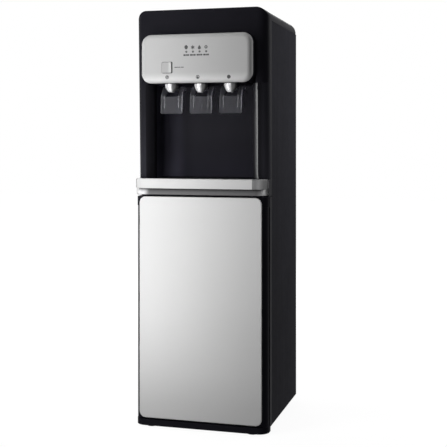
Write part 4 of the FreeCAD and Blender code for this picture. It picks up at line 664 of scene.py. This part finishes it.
EASED = {
    "front_fascia": 0.8, "top_cover": 0.8, "side_panel_left": 0.4, "side_panel_right": 0.4,
    "base_pan": 0.8, "bay_frame": 0.6, "tray_housing": 0.5, "head_housing": 0.5, "door_top_cap": 0.6,
    "door_frame": 0.8, "paddle_hot": 0.35, "paddle_room": 0.35, "paddle_cold": 0.35, "drip_grille": 0.3,
    "rear_panel": 0.25, "feet": 0.6}
eased_pieces = {node_name: eased(node_name, width) for node_name, width in EASED.items()}


# Second finishes on parts of a piece, most of them painted light and shade

def refinish(piece, finish_name, x, y, z, inward=-1.0, outward=-1.0):
    """Gives one more finish to the faces whose centres lie in the three ranges in mm and whose normals turn
    towards the middle of x by more than inward and away from it by more than outward."""
    mesh = piece.data
    mesh.materials.append(finishes[finish_name])
    centres, normals = np.empty(len(mesh.polygons) * 3), np.empty(len(mesh.polygons) * 3)
    mesh.polygons.foreach_get("center", centres)
    mesh.polygons.foreach_get("normal", normals)
    centres, normals = centres.reshape(-1, 3) / MM, normals.reshape(-1, 3)
    low, high = np.array([x, y, z]).T
    chosen = np.all((centres > low) & (centres < high), axis=1)
    away = normals[:, 0] * np.sign(centres[:, 0])
    chosen &= (-away > inward) & (away > outward)
    index = np.empty(len(mesh.polygons), np.int32)
    mesh.polygons.foreach_get("material_index", index)
    mesh.polygons.foreach_set("material_index", np.where(chosen, len(mesh.materials) - 1, index))


fascia = eased_pieces["front_fascia"]
ALCOVE_Z = (590.0, 816.5)
# Painted light and shade on the fascia: the front round the alcove a lighter black, lighter low down, with
# its right post darker and the side beyond it lighter; the alcove lighter inside, most of all on its left and
# low down, where the key lamp's shadow falls; the left bend darker, and lighter towards the inside. The right
# bend only gets a glossier black.
refinish(fascia, "post_painted_light_shade", (-170.0, 170.0), (-190.0, -100.0), ALCOVE_Z)
refinish(fascia, "alcove_painted_light", (-150.0, 150.0), (-112.0, -10.0), ALCOVE_Z)
refinish(fascia, "bend_painted_shade_light", (-141.5, -100.0), (-151.0, -112.0), ALCOVE_Z, inward=0.02)
refinish(fascia, "mouth_black", (100.0, 150.0), (-150.0, -112.0), ALCOVE_Z, inward=0.2)

TRIM_Y = (-170.0, -100.0)
TRIM_Z, BAND_Z, LIP_Z = (550.0, 592.5), (568.0, 592.5), (550.0, 568.7)
# Painted shade and highlights on the trim: the lip under the band a dark grey, lighter towards its foot and
# at both ends; the left end a darker grey; the right corner darker, lighter at its end and darker towards the
# back; the rear of the right end black.
refinish(trim_band, "lip_painted_shade_highlight", (-154.0, 154.0), TRIM_Y, LIP_Z)
refinish(trim_band, "cheek_painted_shade", (-170.0, 0.0), TRIM_Y, TRIM_Z, outward=0.8)
refinish(trim_band, "corner_painted_shade", (130.0, 170.0), TRIM_Y, BAND_Z)
refinish(trim_band, "corner_painted_shade", (135.0, 170.0), TRIM_Y, LIP_Z, outward=0.8)
refinish(trim_band, "black_steel", (135.0, 170.0), (-141.0, -100.0), TRIM_Z)

# Painted shade: the key's sides, flange and stem in dark ink, for the shadowed gap round the key.
refinish(mode_key, "print_ink", (-90.0, -45.0), (-184.6, -170.0), (830.0, 875.0))


# Studio

def any_of_rays(tree, kinds):
    """1 for rays of the named Light Path kinds, else 0."""
    path = tree.nodes.new("ShaderNodeLightPath")
    value = path.outputs[kinds[0]]
    for kind in kinds[1:]:
        either = tree.nodes.new("ShaderNodeMath")
        either.operation = "MAXIMUM"
        tree.links.new(value, either.inputs[0])
        tree.links.new(path.outputs[kind], either.inputs[1])
        value = either.outputs[0]
    return value


def mix_into(tree, kinds, shader, other, surface):
    """Leads shader to the surface socket, and the other one for rays of the named kinds."""
    mix = tree.nodes.new("ShaderNodeMixShader")
    tree.links.new(any_of_rays(tree, kinds), mix.inputs["Fac"])
    tree.links.new(shader, mix.inputs[1])
    tree.links.new(other, mix.inputs[2])
    tree.links.new(mix.outputs["Shader"], surface)


FLOOR_REACH = 9.0
FADE_START, FADE_END, FADE_FROM = 0.45, 1.6, 0.93
WORLD_STRENGTH = 0.04


def pale_floor():
    """Level floor that lifts itself to white for the camera and keeps the object's shadow."""
    r = FLOOR_REACH
    mesh = bpy.data.meshes.new("floor")
    mesh.from_pydata([(-r, -r, 0.0), (r, -r, 0.0), (r, r, 0.0), (-r, r, 0.0)], [], [(0, 1, 2, 3)])
    floor = bpy.data.objects.new("floor", mesh)
    bpy.context.scene.collection.objects.link(floor)
    material, tree, shader = new_material("floor_pale", (0.10, 0.10, 0.10), 0.9, specular=0.0)
    away = tree.nodes.new("ShaderNodeVectorMath")
    away.operation = "LENGTH"
    tree.links.new(tree.nodes.new("ShaderNodeTexCoord").outputs["Object"], away.inputs[0])
    fade = tree.nodes.new("ShaderNodeMapRange")
    fade.inputs["From Min"].default_value = FADE_START
    fade.inputs["From Max"].default_value = FADE_END
    fade.inputs["To Min"].default_value = FADE_FROM
    fade.inputs["To Max"].default_value = 1.0
    tree.links.new(away.outputs["Value"], fade.inputs["Value"])
    seen = tree.nodes.new("ShaderNodeMath")
    seen.operation = "MULTIPLY"
    tree.links.new(any_of_rays(tree, ["Is Camera Ray"]), seen.inputs[0])
    tree.links.new(fade.outputs["Result"], seen.inputs[1])
    lift = tree.nodes.new("ShaderNodeEmission")
    tree.links.new(seen.outputs["Value"], lift.inputs["Strength"])
    both = tree.nodes.new("ShaderNodeAddShader")
    tree.links.new(shader.outputs["BSDF"], both.inputs[0])
    tree.links.new(lift.outputs["Emission"], both.inputs[1])
    white = tree.nodes.new("ShaderNodeEmission")
    mix_into(tree, ["Is Glossy Ray", "Is Transmission Ray"], both.outputs["Shader"],
             white.outputs["Emission"], tree.nodes["Material Output"].inputs["Surface"])
    mesh.materials.append(material)


def pale_world(strength):
    """Soft light all round, plain white where it is seen, mirrored or looked through."""
    world = bpy.data.worlds.new("studio")
    bpy.context.scene.world = world
    world.use_nodes = True
    tree = world.node_tree
    soft, white = tree.nodes["Background"], tree.nodes.new("ShaderNodeBackground")
    for background in (soft, white):
        background.inputs["Color"].default_value = (1.0, 1.0, 1.0, 1.0)
    soft.inputs["Strength"].default_value = strength
    mix_into(tree, ["Is Camera Ray", "Is Glossy Ray", "Is Transmission Ray"], soft.outputs["Background"],
             white.outputs["Background"], tree.nodes["World Output"].inputs["Surface"])


def softbox(name, place, target, width, height, power):
    """Rectangular area lamp at place, facing target."""
    lamp = bpy.data.lights.new(name, "AREA")
    lamp.shape = "RECTANGLE"
    lamp.size = width
    lamp.size_y = height
    lamp.energy = power
    holder = bpy.data.objects.new(name, lamp)
    holder.visible_camera = False
    bpy.context.scene.collection.objects.link(holder)
    away = np.array(place) - np.array(target)
    away = away / np.linalg.norm(away)
    side = np.cross((0.0, 0.0, 1.0), away)
    side = side / np.linalg.norm(side)
    turn = np.eye(4)
    turn[:3, 0], turn[:3, 1], turn[:3, 2], turn[:3, 3] = side, np.cross(away, side), away, place
    holder.matrix_world = Matrix(turn.tolist())


LAMPS = (  # name, place, target, width, height, watts
    ("key_left", (-0.25, -0.516, 0.731), (-0.1, -0.15, 0.766), 0.25, 1.27, 4.9),
    ("fill_front", (0.15, -2.2, 0.9), (0.0, -0.15, 0.75), 0.8, 0.8, 9.5),
    ("side_right", (1.7, 1.5, 1.3), (0.16, 0.05, 0.6), 1.2, 1.6, 26.0),
    ("side_left", (-2.4, 0.5, 1.2), (-0.16, 0.05, 0.6), 1.2, 1.6, 20.0),
    ("back", (-0.8, 2.6, 1.3), (0.0, 0.18, 0.55), 1.4, 1.6, 32.0),
    ("top", (0.0, 0.5, 2.8), (0.0, 0.05, 0.9), 1.6, 1.6, 20.0))
pale_floor()
pale_world(WORLD_STRENGTH)
for lamp_settings in LAMPS:
    softbox(*lamp_settings)

# Camera, fitted to the photograph: level, turned to the object's right, shifted down
IMAGE_PX, FOCAL_PX, HORIZON_ROW = 447.0, 953.24, 142.03
CAMERA_PLACE, CAMERA_YAW = (0.66045, -2.2893, 0.6784), math.radians(15.727)
camera_data = bpy.data.cameras.new("camera")
camera_data.sensor_width = 36.0
camera_data.lens = FOCAL_PX / IMAGE_PX * camera_data.sensor_width
camera_data.shift_y = (HORIZON_ROW - IMAGE_PX / 2) / IMAGE_PX
camera = bpy.data.objects.new("camera", camera_data)
bpy.context.scene.collection.objects.link(camera)
camera.matrix_world = (Matrix.Translation(CAMERA_PLACE) @ Matrix.Rotation(CAMERA_YAW, 4, "Z")
                       @ Matrix.Rotation(math.pi / 2, 4, "X"))
bpy.context.scene.camera = camera

bpy.context.scene.view_settings.view_transform = "Standard"
